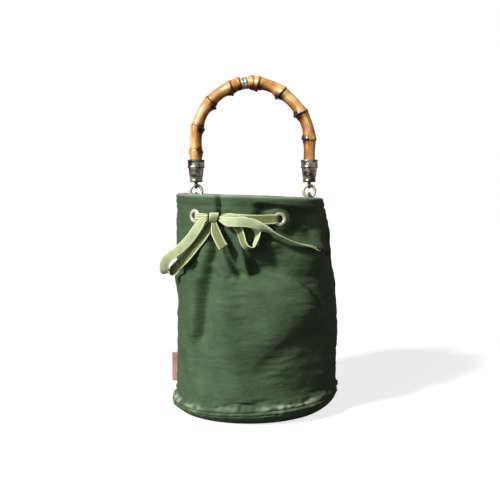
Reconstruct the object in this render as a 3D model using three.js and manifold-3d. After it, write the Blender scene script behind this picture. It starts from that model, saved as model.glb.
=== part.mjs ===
// A drawstring bucket bag with a bamboo handle, in millimetres.
// The origin is on the ground under the middle of the bag, +Z is up, -Y is the front and +X is the right side.
import * as THREE from 'three';
import { mergeVertices } from 'three/addons/utils/BufferGeometryUtils.js';
import Module from 'manifold-3d';

const wasm = await Module();
wasm.setup();

// ---- driving dimensions ----
const GAP = 0.3;                 // clearance between touching pieces

// Bag wall: [height, left edge x, right edge x, depth from centre to front, roundness of the plan outline]
const WALL_ROWS = [
  [15.5, -93, 95.4, 92.2, 2.05],
  [24, -90.6, 96.2, 93, 2.1],
  [60, -89, 97.8, 94, 2.1],
  [100, -88.4, 98.6, 94, 2.1],
  [134, -87.8, 96.6, 92, 2.15],
  [160, -87.2, 93.2, 89, 2.2],
  [186, -87, 88.6, 86.5, 2.3],
  [198, -86.8, 86.4, 85.5, 2.35],
  [199, -86.8, 86.2, 85.5, 2.35],
  [215, -86.6, 82.6, 85, 2.45],
  [225, -86.8, 80.4, 85, 2.5],
  [242.5, -87.6, 76.8, 84.5, 2.6],
];
const PLAN_STEPS = 48;           // points round the wall
const RIM_TILT = 0.03;           // how much the mouth drops towards the right, per mm of x
const TILT_FROM = 186;           // the height where that tilt begins
const WELT_TILT = 0.06;          // how much the seam at the base rises towards the right, per mm of x
const WELT_TILT_TO = 60;         // the height where that has died away
const TILT_CENTRE_X = -5.75;
const FABRIC = 1.2;              // outer wall, cotton with its interfacing
const RIBBON_THICK = 0.7;
const RIBBON_WIDTH = 10;
const FACING = 0.9;
const LINING = 0.8;
const CHANNEL_INSET = FABRIC + GAP;
const CHANNEL_DEPTH = 1.7;       // room behind the outer wall for the ribbon and the eyelet washers
const FACING_INSET = FABRIC + CHANNEL_DEPTH;

// The base is a shallow dish: a flat circle, then a rounded corner up to the piping
const BASE_CENTRE_X = -7;
const BASE_FLAT = 76;            // radius of the flat that stands on the ground
const BASE_SKIN = 1.2;
const BASE_TURNS = 5;            // steps in the rounded corner
const BOARD_RADIUS = 74;
const BOARD_THICK = 2;
const PIPING_RADIUS = 1.7;
const SEAM_OUTLINE = [-93.4, 95.2, 92.2, 2.05];
const PIPING_HEIGHT = WALL_ROWS[0][0] - GAP - PIPING_RADIUS;
const DISH_HEIGHT = PIPING_HEIGHT - PIPING_RADIUS - GAP;
// The lining's own rows below the wall's second row, in the form of WALL_ROWS
const LINING_ROWS = [
  [4.2, -88.2, 81, 83.6, 2.03],
  [10, -89.8, 88.4, 87.8, 2.05],
];

const EYELET_STEPS = [30.4, 38.6]; // where the two eyelets sit round the plan, out of PLAN_STEPS
const EYELET_Z = [220.8, 217.9];
const EYELET_OUTER = 7.5;
const EYELET_BARREL = 4.5;
const EYELET_BORE = 3.9;

// Handle: two straight legs and an arch
const ARCH_CENTRE_X = -1.5;
const ARCH_RADIUS = 64.7;
const ARCH_Z = 305;
const CANE_END_Z = 265.5;
const LEG = ARCH_Z - CANE_END_Z;
const ARCH_LENGTH = Math.PI * ARCH_RADIUS;
const CANE_RADIUS = 6.5;
const NODE_RISE = 1.8;           // how far a bamboo node stands out
const NODE_SPREAD = 2.6;
const SHOULDER_DROP = 0.03;      // the right shoulder of the arch is a little lower than a true circle
const COUPLER_AT = LEG + ARCH_LENGTH * 0.454;
const COUPLER_WIDTH = 7;
const COUPLER_RADIUS = 6.6;
const DOWEL_RADIUS = 2.5;
const DOWEL_LENGTH = 26;
// Bamboo nodes, as distances along the cane's centre line from its left end
const NODES_LEFT = [26, 54, 86, 115, 127];
const NODES_RIGHT = [144, 176, 210, 241];

const FERRULE_TOP = 283;
const FERRULE_FLOOR = 265;
const FERRULE_BOTTOM = 257.4;
const FERRULE_BORE = 7.2;
const COLLAR_BOTTOM = 273.5;
const COLLAR_OUTER = 9.9;
const PIN_RADIUS = 1;
const PIN_Z = 268.6;

const RING_AXIS_Z = 253.8;       // the ring's top, where the handle turns on it
const RING_RADIUS = 6.6;
const RING_WIRE = 1.5;
const RING_CENTRE_Z = RING_AXIS_Z - RING_RADIUS;
const RING_FOOT_Z = RING_CENTRE_Z - RING_RADIUS;
const LEG_X = [ARCH_CENTRE_X - ARCH_RADIUS, ARCH_CENTRE_X + ARCH_RADIUS];
const LOOP_STRAND = 1.7;         // radius of the rolled fabric loop
const LOOP_BEND = 3.95;

const SIDES = ['left', 'right'];

// ---- materials ----
const finish = (color, roughness, metalness) => new THREE.MeshStandardMaterial({ color, roughness, metalness });
const MATERIALS = {
  cotton: () => finish(0x3d5638, 0.8, 0),
  lining: () => finish(0x34452f, 0.85, 0),
  board: () => finish(0x8c7a5c, 0.9, 0),
  label: () => finish(0x8e5650, 0.8, 0),
  ribbon: () => finish(0xcdd9a2, 0.7, 0),
  bamboo: () => finish(0xc98b4b, 0.35, 0),
  wood: () => finish(0xb98d5c, 0.7, 0),
  pewter: () => finish(0x82785f, 0.3, 1),
  silver: () => finish(0xd6d0bd, 0.25, 1),
};

const bag = new THREE.Group();

function addPart(name, material, geometry) {
  const mesh = new THREE.Mesh(geometry, MATERIALS[material]());
  mesh.name = name;
  bag.add(mesh);
  return mesh;
}

// ---- general tools ----
function geometryFrom(points, faces) {
  const geometry = new THREE.BufferGeometry();
  geometry.setAttribute('position', new THREE.Float32BufferAttribute(points.flatMap((p) => p.toArray()), 3));
  geometry.setIndex(faces.flat());
  return geometry;
}

function toSolid(geometry) {
  const plain = geometry.clone();
  plain.deleteAttribute('normal');
  plain.deleteAttribute('uv');
  const merged = mergeVertices(plain, 1e-4);
  const vertProperties = new Float32Array(merged.attributes.position.array);
  const triVerts = new Uint32Array(merged.index.array);
  return new wasm.Manifold(new wasm.Mesh({ numProp: 3, vertProperties, triVerts }));
}

function toGeometry(solid) {
  const mesh = solid.getMesh();
  const geometry = new THREE.BufferGeometry();
  geometry.setAttribute('position', new THREE.BufferAttribute(mesh.vertProperties, 3));
  geometry.setIndex(new THREE.BufferAttribute(mesh.triVerts, 1));
  return geometry;
}

function cut(geometry, ...tools) {
  const solid = tools.reduce((left, tool) => left.subtract(toSolid(tool)), toSolid(geometry));
  return toGeometry(solid);
}

// A closed solid from rings of points, capped at both ends. With closedLoop the last ring joins the first.
function loft(rings, closedLoop = false) {
  const count = rings[0].length;
  const points = rings.flat();
  const faces = [];
  const bands = closedLoop ? rings.length : rings.length - 1;
  for (let band = 0; band < bands; band += 1) {
    const low = band * count;
    const high = ((band + 1) % rings.length) * count;
    for (let i = 0; i < count; i += 1) {
      const j = (i + 1) % count;
      faces.push([low + i, low + j, high + j], [low + i, high + j, high + i]);
    }
  }
  if (!closedLoop) {
    capRing(points, faces, rings[0], 0, true);
    capRing(points, faces, rings[rings.length - 1], (rings.length - 1) * count, false);
  }
  return geometryFrom(points, faces);
}

function capRing(points, faces, ring, start, isFirst) {
  const middle = ring.reduce((sum, p) => sum.add(p), new THREE.Vector3()).divideScalar(ring.length);
  const centre = points.push(middle) - 1;
  for (let i = 0; i < ring.length; i += 1) {
    const a = start + i;
    const b = start + ((i + 1) % ring.length);
    faces.push(isFirst ? [centre, b, a] : [centre, a, b]);
  }
}

function cylinderAlong(radius, length, centre, axis, sides = 16) {
  const geometry = new THREE.CylinderGeometry(radius, radius, length, sides);
  const turn = new THREE.Quaternion().setFromUnitVectors(new THREE.Vector3(0, 1, 0), axis.clone().normalize());
  geometry.applyQuaternion(turn);
  geometry.translate(centre.x, centre.y, centre.z);
  return geometry;
}

// A lathe about a vertical axis. The profile is a closed list of [radius, height].
function latheAt(profile, x, y, steps) {
  const points = profile.map(([r, z]) => new THREE.Vector2(r, z));
  const geometry = new THREE.LatheGeometry(points, steps);
  geometry.rotateX(Math.PI / 2);
  geometry.translate(x, y, 0);
  return toGeometry(toSolid(geometry));
}

// ---- the bag's wall ----
// How much the height at a point drops per mm of x: the mouth and the seam at the base lean opposite ways.
function tiltAt(height) {
  const rim = Math.max(0, (height - TILT_FROM) / (WALL_ROWS.at(-1)[0] - TILT_FROM));
  const welt = Math.max(0, (WELT_TILT_TO - height) / (WELT_TILT_TO - WALL_ROWS[0][0]));
  return RIM_TILT * rim - WELT_TILT * Math.min(1, welt);
}

// A point of the wall: row is an entry of WALL_ROWS, step counts round the plan, inset goes inwards.
function wallPoint(row, step, inset) {
  const [height, left, right, depth, roundness] = row;
  const angle = (step / PLAN_STEPS) * 2 * Math.PI;
  const cos = Math.cos(angle);
  const sin = Math.sin(angle);
  const swell = (Math.abs(cos) ** roundness + Math.abs(sin) ** roundness) ** (-1 / roundness);
  const x = (left + right) / 2 + cos * (swell * (right - left) / 2 - inset);
  const y = sin * (swell * depth - inset);
  return new THREE.Vector3(x, y, height - tiltAt(height) * (x - TILT_CENTRE_X));
}

// A band of fabric between two insets, over the wall rows from one height to another.
function wallBand(from, to, outerInset, innerInset) {
  const rows = WALL_ROWS.filter(([height]) => height >= from && height <= to);
  const ringAt = (row, inset) => Array.from({ length: PLAN_STEPS }, (_, i) => wallPoint(row, i, inset));
  const outside = rows.map((row) => ringAt(row, outerInset));
  const inside = rows.map((row) => ringAt(row, innerInset)).reverse();
  return loft([...outside, ...inside], true);
}

function eyeletPlace(side) {
  const row = WALL_ROWS.find(([height]) => height === 215);
  const above = WALL_ROWS.find(([height]) => height === 225);
  const step = EYELET_STEPS[side];
  const low = wallPoint(row, step, 0);
  const high = wallPoint(above, step, 0);
  const centre = low.clone().lerp(high, (EYELET_Z[side] - low.z) / (high.z - low.z));
  const along = wallPoint(row, step + 1, 0).sub(wallPoint(row, step - 1, 0));
  const outward = along.cross(high.clone().sub(low)).normalize();
  return { centre, outward };
}

function outerShell() {
  const holes = SIDES.map((_, side) => {
    const { centre, outward } = eyeletPlace(side);
    return cylinderAlong(EYELET_BARREL + GAP, 12, centre, outward, 20);
  });
  return cut(wallBand(15.5, 242.5, 0, FABRIC), ...holes);
}

// The lining is a bucket: its wall follows the outer wall and its floor lies over the base board.
function lining() {
  const inset = FABRIC + GAP;
  const rows = WALL_ROWS.filter(([height]) => height >= 24 && height <= 198);
  const ringAt = (row, extra) => Array.from({ length: PLAN_STEPS }, (_, i) => wallPoint(row, i, extra));
  const level = (ring, z) => ring.map((p) => p.setZ(z));
  const lowRing = ([height, ...outline], extra) => level(ringAt([height, ...outline], extra), height);
  const outside = [...LINING_ROWS.map((row) => lowRing(row, 0)), ...rows.map((row) => ringAt(row, inset))];
  const inside = [
    ...rows.map((row) => ringAt(row, inset + LINING)).reverse(),
    lowRing(LINING_ROWS[1], LINING),
    level(lowRing(LINING_ROWS[0], LINING), LINING_ROWS[0][0] + LINING),
  ];
  return loft([...outside, ...inside]);
}

// The ribbon's run inside the channel, from the left eyelet round the back to the right one.
function ribbonChannel() {
  const rows = WALL_ROWS.filter(([height]) => height === 215 || height === 225);
  const rings = [];
  const first = Math.ceil(EYELET_STEPS[1] + 0.7) - PLAN_STEPS;
  const last = Math.floor(EYELET_STEPS[0] - 0.7);
  for (let step = first; step <= last; step += 1) {
    const [low, high] = rows;
    rings.push([
      wallPoint(low, step, CHANNEL_INSET),
      wallPoint(low, step, CHANNEL_INSET + RIBBON_THICK),
      wallPoint(high, step, CHANNEL_INSET + RIBBON_THICK),
      wallPoint(high, step, CHANNEL_INSET),
    ]);
  }
  return loft(rings);
}

// ---- the base ----
// One ring of the dish. turn goes from 0 on the flat to 1 under the piping; skin goes up and inwards.
function dishRing(turn, skin) {
  const angle = (turn * Math.PI) / 2;
  return Array.from({ length: PLAN_STEPS }, (_, i) => {
    const around = (i / PLAN_STEPS) * 2 * Math.PI;
    const flat = new THREE.Vector3(
      BASE_CENTRE_X + (BASE_FLAT - skin) * Math.cos(around), (BASE_FLAT - skin) * Math.sin(around), skin);
    const rim = wallPoint([DISH_HEIGHT, ...SEAM_OUTLINE], i, skin);
    const out = Math.sin(angle);
    const up = 1 - Math.cos(angle);
    return new THREE.Vector3(
      flat.x + (rim.x - flat.x) * out, flat.y + (rim.y - flat.y) * out, flat.z + (rim.z - flat.z) * up);
  });
}

function basePanel() {
  const turns = Array.from({ length: BASE_TURNS + 1 }, (_, i) => i / BASE_TURNS);
  const under = turns.map((turn) => dishRing(turn, 0));
  const over = turns.map((turn) => dishRing(turn, BASE_SKIN)).reverse();
  return loft([...under, ...over]);
}

function baseBoard() {
  const low = BASE_SKIN + GAP;
  const profile = [[0, low], [BOARD_RADIUS, low], [BOARD_RADIUS, low + BOARD_THICK], [0, low + BOARD_THICK]];
  return latheAt(profile, BASE_CENTRE_X, 0, PLAN_STEPS);
}

// The piping fills the seam all round, on a round section.
function basePiping() {
  const corners = 8;
  const row = [PIPING_HEIGHT, ...SEAM_OUTLINE];
  const rings = Array.from({ length: PLAN_STEPS }, (_, i) => {
    const centre = wallPoint(row, i, PIPING_RADIUS / 2);
    const outward = centre.clone().sub(wallPoint(row, i, PIPING_RADIUS)).setZ(0).normalize();
    return Array.from({ length: corners }, (_unused, k) => {
      const angle = (-k / corners) * 2 * Math.PI;
      return centre.clone()
        .addScaledVector(outward, PIPING_RADIUS * Math.cos(angle))
        .add(new THREE.Vector3(0, 0, PIPING_RADIUS * Math.sin(angle)));
    });
  });
  return loft(rings, true);
}

function sideLabel() {
  const shape = new THREE.BoxGeometry(4.6, 1.2, 33.6);
  shape.rotateY(0.035);
  shape.translate(-92.2, 4, 42.4);
  return shape;
}

// ---- the handle's loops and rings ----
// A round strand along a list of points, capped at both ends.
function strand(points, radius, sides, steps) {
  const shape = new THREE.Shape();
  for (let i = 0; i < sides; i += 1) {
    const angle = (i / sides) * 2 * Math.PI;
    const x = radius * Math.cos(angle);
    const y = radius * Math.sin(angle);
    if (i === 0) shape.moveTo(x, y);
    else shape.lineTo(x, y);
  }
  const extrudePath = new THREE.CatmullRomCurve3(points.map((p) => new THREE.Vector3(...p)));
  return new THREE.ExtrudeGeometry(shape, { steps, extrudePath, bevelEnabled: false });
}

// The loop's two legs lean from the wall's inside to the ring, and its bend goes over the ring's foot.
const LOOP_LEGS = [
  [[-80.4, 206], [-80.2, 218], [-77.6, 228], [-71.6, 236]],
  [[78.2, 206], [75, 218], [71.4, 228], [66.8, 236]],
];
function handleLoop(side) {
  const legs = LOOP_LEGS[side];
  const bend = [];
  for (let i = 0; i <= 6; i += 1) {
    const angle = (i / 6) * Math.PI;
    bend.push([LEG_X[side], LOOP_BEND * Math.cos(angle), RING_FOOT_Z + LOOP_BEND * Math.sin(angle)]);
  }
  const up = legs.map(([x, z]) => [x, LOOP_BEND + 0.3, z]);
  const down = legs.map(([x, z]) => [x, -LOOP_BEND - 0.3, z]).reverse();
  return strand([...up, ...bend, ...down], LOOP_STRAND, 8, 36);
}

function handleRing(side) {
  const geometry = new THREE.TorusGeometry(RING_RADIUS, RING_WIRE, 8, 24);
  geometry.rotateX(Math.PI / 2);
  geometry.translate(LEG_X[side], 0, RING_CENTRE_Z);
  return toGeometry(toSolid(geometry));
}

// ---- the cane ----
// A point of the cane's centre line, at a distance from its left end.
function canePoint(distance) {
  if (distance < LEG) return new THREE.Vector3(LEG_X[0], 0, CANE_END_Z + distance);
  if (distance > LEG + ARCH_LENGTH) {
    return new THREE.Vector3(LEG_X[1], 0, ARCH_Z - (distance - LEG - ARCH_LENGTH));
  }
  const angle = Math.PI - (distance - LEG) / ARCH_RADIUS;
  const squeeze = angle < Math.PI / 2 ? 1 - SHOULDER_DROP * Math.sin(2 * angle) ** 2 : 1;
  const radius = ARCH_RADIUS * squeeze;
  return new THREE.Vector3(ARCH_CENTRE_X + radius * Math.cos(angle), 0, ARCH_Z + radius * Math.sin(angle));
}

function caneTangent(distance) {
  const reach = 0.5;
  return canePoint(distance + reach).sub(canePoint(distance - reach)).normalize();
}

function caneRadius(distance, nodes) {
  const rise = nodes.reduce((sum, at) => sum + Math.exp(-(((distance - at) / NODE_SPREAD) ** 2)), 0);
  return CANE_RADIUS + NODE_RISE * Math.min(rise, 1);
}

// A sweep along the cane's centre line, with a radius for each distance.
function caneSweep(from, to, corners, stepLength, radiusAt) {
  const steps = Math.round((to - from) / stepLength);
  const rings = [];
  for (let i = 0; i <= steps; i += 1) {
    const distance = from + ((to - from) * i) / steps;
    const centre = canePoint(distance);
    const tangent = caneTangent(distance);
    const across = new THREE.Vector3(0, 1, 0);
    const outward = tangent.clone().cross(across);
    const radius = radiusAt(distance);
    rings.push(Array.from({ length: corners }, (_, k) => {
      const angle = (k / corners) * 2 * Math.PI;
      return centre.clone()
        .addScaledVector(across, radius * Math.cos(angle))
        .addScaledVector(outward, radius * Math.sin(angle));
    }));
  }
  return loft(rings);
}

function dowelHole(clearance) {
  const radius = DOWEL_RADIUS + clearance;
  return cylinderAlong(radius, DOWEL_LENGTH + 2 * clearance, canePoint(COUPLER_AT), caneTangent(COUPLER_AT), 12);
}

function pinAt(side, radius, length) {
  return cylinderAlong(radius, length, new THREE.Vector3(LEG_X[side], 0, PIN_Z), new THREE.Vector3(0, 1, 0), 10);
}

function caneHalf(side) {
  const halfGap = COUPLER_WIDTH / 2 + GAP;
  const [from, to] = side === 0 ? [0, COUPLER_AT - halfGap] : [COUPLER_AT + halfGap, 2 * LEG + ARCH_LENGTH];
  const nodes = side === 0 ? NODES_LEFT : NODES_RIGHT;
  const whole = caneSweep(from, to, 12, 3.4, (distance) => caneRadius(distance, nodes));
  return cut(whole, dowelHole(GAP), pinAt(side, PIN_RADIUS + GAP, 40));
}

function crownCoupler() {
  const half = COUPLER_WIDTH / 2;
  const collar = caneSweep(COUPLER_AT - half, COUPLER_AT + half, 16, half, () => COUPLER_RADIUS);
  return cut(collar, dowelHole(GAP));
}

// ---- ferrules and eye screws ----
function ferrule(side) {
  const profile = [
    [2.3 + GAP, FERRULE_BOTTOM], [6.6, FERRULE_BOTTOM], [7.5, FERRULE_BOTTOM + 1.4], [8.6, COLLAR_BOTTOM],
    [8.6, FERRULE_TOP], [FERRULE_BORE, FERRULE_TOP], [FERRULE_BORE, FERRULE_FLOOR],
    [2.3 + GAP, FERRULE_FLOOR], [2.3 + GAP, FERRULE_BOTTOM],
  ];
  return cut(latheAt(profile, LEG_X[side], 0, 20), pinAt(side, PIN_RADIUS + GAP, 40));
}

function ferruleCollar(side) {
  const inner = 8.6 + GAP;
  const profile = [
    [inner, COLLAR_BOTTOM], [COLLAR_OUTER - 0.5, COLLAR_BOTTOM], [COLLAR_OUTER, COLLAR_BOTTOM + 0.8],
    [COLLAR_OUTER, FERRULE_TOP - 0.8], [COLLAR_OUTER - 0.5, FERRULE_TOP], [inner, FERRULE_TOP],
    [inner, COLLAR_BOTTOM],
  ];
  return latheAt(profile, LEG_X[side], 0, 20);
}

// An eye screw: a plate with a hole for the ring, and a shank up into the ferrule's floor.
function eyeScrew(side) {
  const outline = new THREE.Shape();
  outline.absarc(0, 0, 3.6, 0, 2 * Math.PI, false);
  const hole = new THREE.Path();
  hole.absarc(0, 0, 2.1, 0, 2 * Math.PI, true);
  outline.holes.push(hole);
  const thick = 3;
  const plate = new THREE.ExtrudeGeometry(outline, { depth: thick, bevelEnabled: false, curveSegments: 10 });
  plate.rotateX(Math.PI / 2);
  plate.rotateZ(Math.PI / 2);
  plate.translate(LEG_X[side] - thick / 2, 0, RING_AXIS_Z);
  const above = new THREE.BoxGeometry(10, 10, 4);
  above.translate(LEG_X[side], 0, FERRULE_BOTTOM - GAP + 2);
  const shankBottom = FERRULE_BOTTOM - GAP - 0.6;
  const shankMiddle = (shankBottom + FERRULE_FLOOR - GAP) / 2;
  const centre = new THREE.Vector3(LEG_X[side], 0, shankMiddle);
  const length = FERRULE_FLOOR - GAP - shankBottom;
  const shank = cylinderAlong(2.3, length, centre, new THREE.Vector3(0, 0, 1), 12);
  return toGeometry(toSolid(plate).subtract(toSolid(above)).add(toSolid(shank)));
}

// ---- eyelets ----
function placeOutward(geometry, side) {
  const { centre, outward } = eyeletPlace(side);
  const turn = new THREE.Quaternion().setFromUnitVectors(new THREE.Vector3(0, 0, 1), outward);
  geometry.applyQuaternion(turn);
  geometry.translate(centre.x, centre.y, centre.z);
  return toGeometry(toSolid(geometry));
}

function eyelet(side) {
  const profile = [
    [EYELET_BORE, -2.5], [EYELET_BARREL, -2.5], [EYELET_BARREL, 0.5], [EYELET_OUTER, 0.5],
    [EYELET_OUTER - 0.6, 1.2], [EYELET_BORE + 1, 1.5], [EYELET_BORE, 0.9], [EYELET_BORE, -2.5],
  ];
  const points = profile.map(([r, z]) => new THREE.Vector2(r, z));
  const geometry = new THREE.LatheGeometry(points, 24);
  geometry.rotateX(Math.PI / 2);
  return placeOutward(geometry, side);
}

function eyeletWasher(side) {
  const inner = EYELET_BARREL + GAP;
  const outer = 6.9;
  const top = -(FABRIC + 0.8);
  const bottom = top - 0.4;
  const profile = [[inner, bottom], [outer, bottom], [outer, top], [inner, top], [inner, bottom]];
  const points = profile.map(([r, z]) => new THREE.Vector2(r, z));
  const geometry = new THREE.LatheGeometry(points, 24);
  geometry.rotateX(Math.PI / 2);
  return placeOutward(geometry, side);
}

// ---- the tied ribbon ----
// Each strand is a list of [x, y, z] points, with the directions of the ribbon's width at even steps along it,
// how much of its width the knot or the eyelet leaves it at either end, and the length it takes to open out.
const STRANDS = {
  ribbon_left_lead: {
    path: [[-59.8, -72.8, 221.1], [-56.6, -75.4, 221.3], [-52.4, -78.8, 221.3], [-48.2, -82.6, 221]],
    across: [[0, 0, 1], [0, 0, 1]],
    narrow: [0.62, 0.4],
    grip: 30,
  },
  ribbon_right_lead: {
    path: [[24.8, -86, 217.6], [17, -88, 217.8], [6.8, -88.6, 217.6], [-8, -88.6, 218], [-22, -87, 219],
      [-30, -85.2, 220.2], [-35.8, -84, 221]],
    across: [[0, 0, 1], [0, 0, 1]],
    narrow: [0.6, 0.4],
    grip: 10,
  },
  ribbon_left_loop: {
    path: [[-48.8, -88.4, 219.2], [-51, -88.2, 218.4], [-54.2, -87, 215.6], [-59.6, -82.8, 208.1],
      [-66.9, -76.5, 198.1], [-76.2, -69, 188.5], [-85.5, -62.5, 181], [-93.2, -58, 175.4],
      [-97.3, -54.5, 168.6], [-97.6, -51.5, 161.8], [-94.9, -48, 158.3], [-89.9, -46.5, 160.1],
      [-82.7, -51, 167.1], [-74.9, -59, 174.3], [-67.8, -67, 182.6], [-60.1, -74, 192.3],
      [-53.7, -78.8, 200.5], [-48.9, -81.8, 208.6], [-46, -83.8, 214.9]],
    across: [[0.45, -0.25, -0.86], [0.75, -0.15, -0.64], [0.65, -0.1, -0.75], [1, -0.1, 0.1],
      [0.7, -0.2, -0.66], [0.75, -0.2, -0.62], [0.8, -0.1, -0.6]],
    narrow: [0.4, 0.4],
    grip: 10,
  },
  ribbon_right_loop: {
    path: [[-35.8, -86.4, 219.6], [-28, -88.4, 218], [-21, -90, 214], [-16.1, -91.6, 208],
      [-13.3, -92.2, 201.3], [-11.1, -92.6, 193.9], [-7.6, -93, 189.4], [-2.6, -93, 189.4],
      [0.8, -93, 194.4], [3.2, -92, 201.4], [3.2, -90.8, 207], [0.2, -91, 211.6], [-7, -92.2, 215],
      [-17, -92.8, 217.4], [-27, -92.4, 218.6], [-35.8, -88.8, 219.6]],
    across: [[0, 0, 1], [0.5, -0.5, 0.6], [0.6, -0.75, 0.25], [0.45, -0.8, 0.35], [0.55, -0.4, 0.7],
      [0, -0.1, 1], [0, 0, 1]],
    narrow: [0.4, 0.4],
    grip: 10,
  },
  ribbon_short_tail: {
    path: [[-41.4, -88.6, 214.6], [-40.9, -90.4, 210.6], [-39.8, -91.5, 205.4], [-37.2, -92.4, 199.1],
      [-34.4, -93, 193.6], [-31.6, -93.4, 189.4]],
    across: [[1, 0, 0.1], [0.9, 0, 0.42]],
    narrow: [0.5, 1],
    grip: 10,
  },
  ribbon_long_tail: {
    path: [[-35.8, -91.6, 218.4], [-29, -95.8, 216.2], [-20.9, -98.4, 215.8], [-9.9, -99.6, 215.5],
      [-1.1, -99.6, 214.1], [6.6, -99, 210.8], [13.3, -97.5, 207.7], [23.4, -94, 202],
      [34.7, -89.5, 197.1], [46.3, -84, 192.9], [58, -78.5, 189.7], [67.6, -72.5, 185.9]],
    across: [[0, 0, 1], [0, 0, 1], [0, -0.35, 0.94], [-0.2, -0.88, 0.42], [-0.35, -0.92, 0.2],
      [-0.4, -0.9, 0.1], [-0.45, -0.88, 0.1]],
    narrow: [0.4, 1],
    grip: 10,
  },
};

function ribbonStrand({ path, across, narrow, grip }) {
  const curve = new THREE.CatmullRomCurve3(path.map((p) => new THREE.Vector3(...p)));
  const steps = Math.max(8, Math.round(curve.getLength() / 4.5));
  const widths = across.map((v) => new THREE.Vector3(...v).normalize());
  const taper = grip / curve.getLength();
  const rings = [];
  for (let i = 0; i <= steps; i += 1) {
    const t = i / steps;
    const centre = curve.getPointAt(t);
    const tangent = curve.getTangentAt(t);
    const key = Math.min(Math.floor(t * (widths.length - 1)), widths.length - 2);
    const wide = widths[key].clone().lerp(widths[key + 1], t * (widths.length - 1) - key);
    wide.projectOnPlane(tangent).normalize();
    const thick = tangent.clone().cross(wide);
    const atStart = narrow[0] + (1 - narrow[0]) * Math.min(1, t / taper);
    const atEnd = narrow[1] + (1 - narrow[1]) * Math.min(1, (1 - t) / taper);
    const half = (RIBBON_WIDTH / 2) * Math.min(atStart, atEnd);
    const corners = [[1, -1], [1, 1], [-1, 1], [-1, -1]];
    rings.push(corners.map(([a, b]) => centre.clone()
      .addScaledVector(wide, a * half)
      .addScaledVector(thick, b * RIBBON_THICK / 2)));
  }
  return loft(rings);
}

function ribbonKnot() {
  const geometry = new THREE.SphereGeometry(1, 12, 8);
  geometry.scale(5.6, 4, 5.2);
  geometry.translate(-42.2, -86.6, 220);
  return toGeometry(toSolid(geometry));
}

// ---- assembly ----
addPart('outer_shell', 'cotton', outerShell());
addPart('lining', 'lining', lining());
addPart('rim_facing', 'cotton', wallBand(199, 242.5, FACING_INSET, FACING_INSET + FACING));
addPart('base_panel', 'cotton', basePanel());
addPart('base_board', 'board', baseBoard());
addPart('base_piping', 'cotton', basePiping());
addPart('side_label', 'label', sideLabel());
SIDES.forEach((name, side) => {
  addPart(`handle_loop_${name}`, 'cotton', handleLoop(side));
  addPart(`ring_${name}`, 'silver', handleRing(side));
  addPart(`eyelet_${name}`, 'silver', eyelet(side));
  addPart(`eyelet_washer_${name}`, 'silver', eyeletWasher(side));
  addPart(`bamboo_${name}`, 'bamboo', caneHalf(side));
  addPart(`ferrule_${name}`, 'pewter', ferrule(side));
  addPart(`ferrule_collar_${name}`, 'pewter', ferruleCollar(side));
  addPart(`ferrule_pin_${name}`, 'pewter', pinAt(side, PIN_RADIUS, 15));
  addPart(`eye_${name}`, 'pewter', eyeScrew(side));
});
addPart('crown_coupler', 'pewter', crownCoupler());
addPart('crown_dowel', 'wood', dowelHole(0));
addPart('ribbon_channel', 'ribbon', ribbonChannel());
addPart('ribbon_knot', 'ribbon', ribbonKnot());
for (const [name, route] of Object.entries(STRANDS)) {
  addPart(name, 'ribbon', ribbonStrand(route));
}

export default bag;
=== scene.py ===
"""A dark green drawstring bucket bag with a bamboo handle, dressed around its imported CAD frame.

Sizes are in millimetres, in the frame's axes, and become metres when a mesh is made.
"""
import math

import bpy
import numpy as np
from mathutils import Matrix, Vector, noise


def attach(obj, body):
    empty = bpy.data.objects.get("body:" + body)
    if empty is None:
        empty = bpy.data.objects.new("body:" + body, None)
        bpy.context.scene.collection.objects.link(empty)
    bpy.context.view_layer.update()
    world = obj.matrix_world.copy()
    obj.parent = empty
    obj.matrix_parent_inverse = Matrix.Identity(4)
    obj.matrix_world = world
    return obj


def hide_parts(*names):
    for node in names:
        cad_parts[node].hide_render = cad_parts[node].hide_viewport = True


MM = 0.001
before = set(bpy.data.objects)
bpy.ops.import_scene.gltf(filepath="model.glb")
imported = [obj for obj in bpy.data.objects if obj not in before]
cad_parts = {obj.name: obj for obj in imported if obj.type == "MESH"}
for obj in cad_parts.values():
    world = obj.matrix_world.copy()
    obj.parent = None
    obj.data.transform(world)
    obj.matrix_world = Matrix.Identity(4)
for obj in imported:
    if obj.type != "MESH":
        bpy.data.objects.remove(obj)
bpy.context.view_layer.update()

# ---------------------------------------------------------------- driving sizes
# Bag wall rows: height, left edge x, right edge x, depth to the front, roundness of the plan outline
WALL_ROWS = np.array([
    [15.5, -93, 95.4, 92.2, 2.05],
    [24, -90.6, 96.2, 93, 2.1],
    [60, -89, 97.8, 94, 2.1],
    [100, -88.4, 98.6, 94, 2.1],
    [134, -87.8, 96.6, 92, 2.15],
    [160, -87.2, 93.2, 89, 2.2],
    [186, -87, 88.6, 86.5, 2.3],
    [198, -86.8, 86.4, 85.5, 2.35],
    [215, -86.6, 82.6, 85, 2.45],
    [225, -86.8, 80.4, 85, 2.5],
    [242.5, -87.6, 76.8, 84.5, 2.6],
])
BOTTOM, TOP = WALL_ROWS[0, 0], WALL_ROWS[-1, 0]
RIM_TILT, TILT_FROM = 0.03, 186         # the mouth drops towards the right
WELT_TILT, WELT_TILT_TO = 0.06, 60      # the seam at the base rises towards the right
TILT_MIDDLE_X = -5.75
SEAM_OUTLINE = (-93.4, 95.2, 92.2, 2.05)
COLUMNS = 288
ROWS = 160
ARC = 90.0                      # nominal radius, which turns angles round the bag into millimetres
ALL_ROUND = 2 * math.pi * ARC   # the unrolled wall's length
SIDE_SEAMS = (-math.pi / 2 * ARC - 4, math.pi / 2 * ARC + 4)
SHELL = 1.2
FACING_AT, FACING = 2.9, 0.9    # depth below the wall's surface, and thickness
LINING_AT, LINING = 1.5, 0.8
FACING_BOTTOM = 199
ROLL = 3.0                      # the rim is rolled over towards the inside over this height
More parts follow.
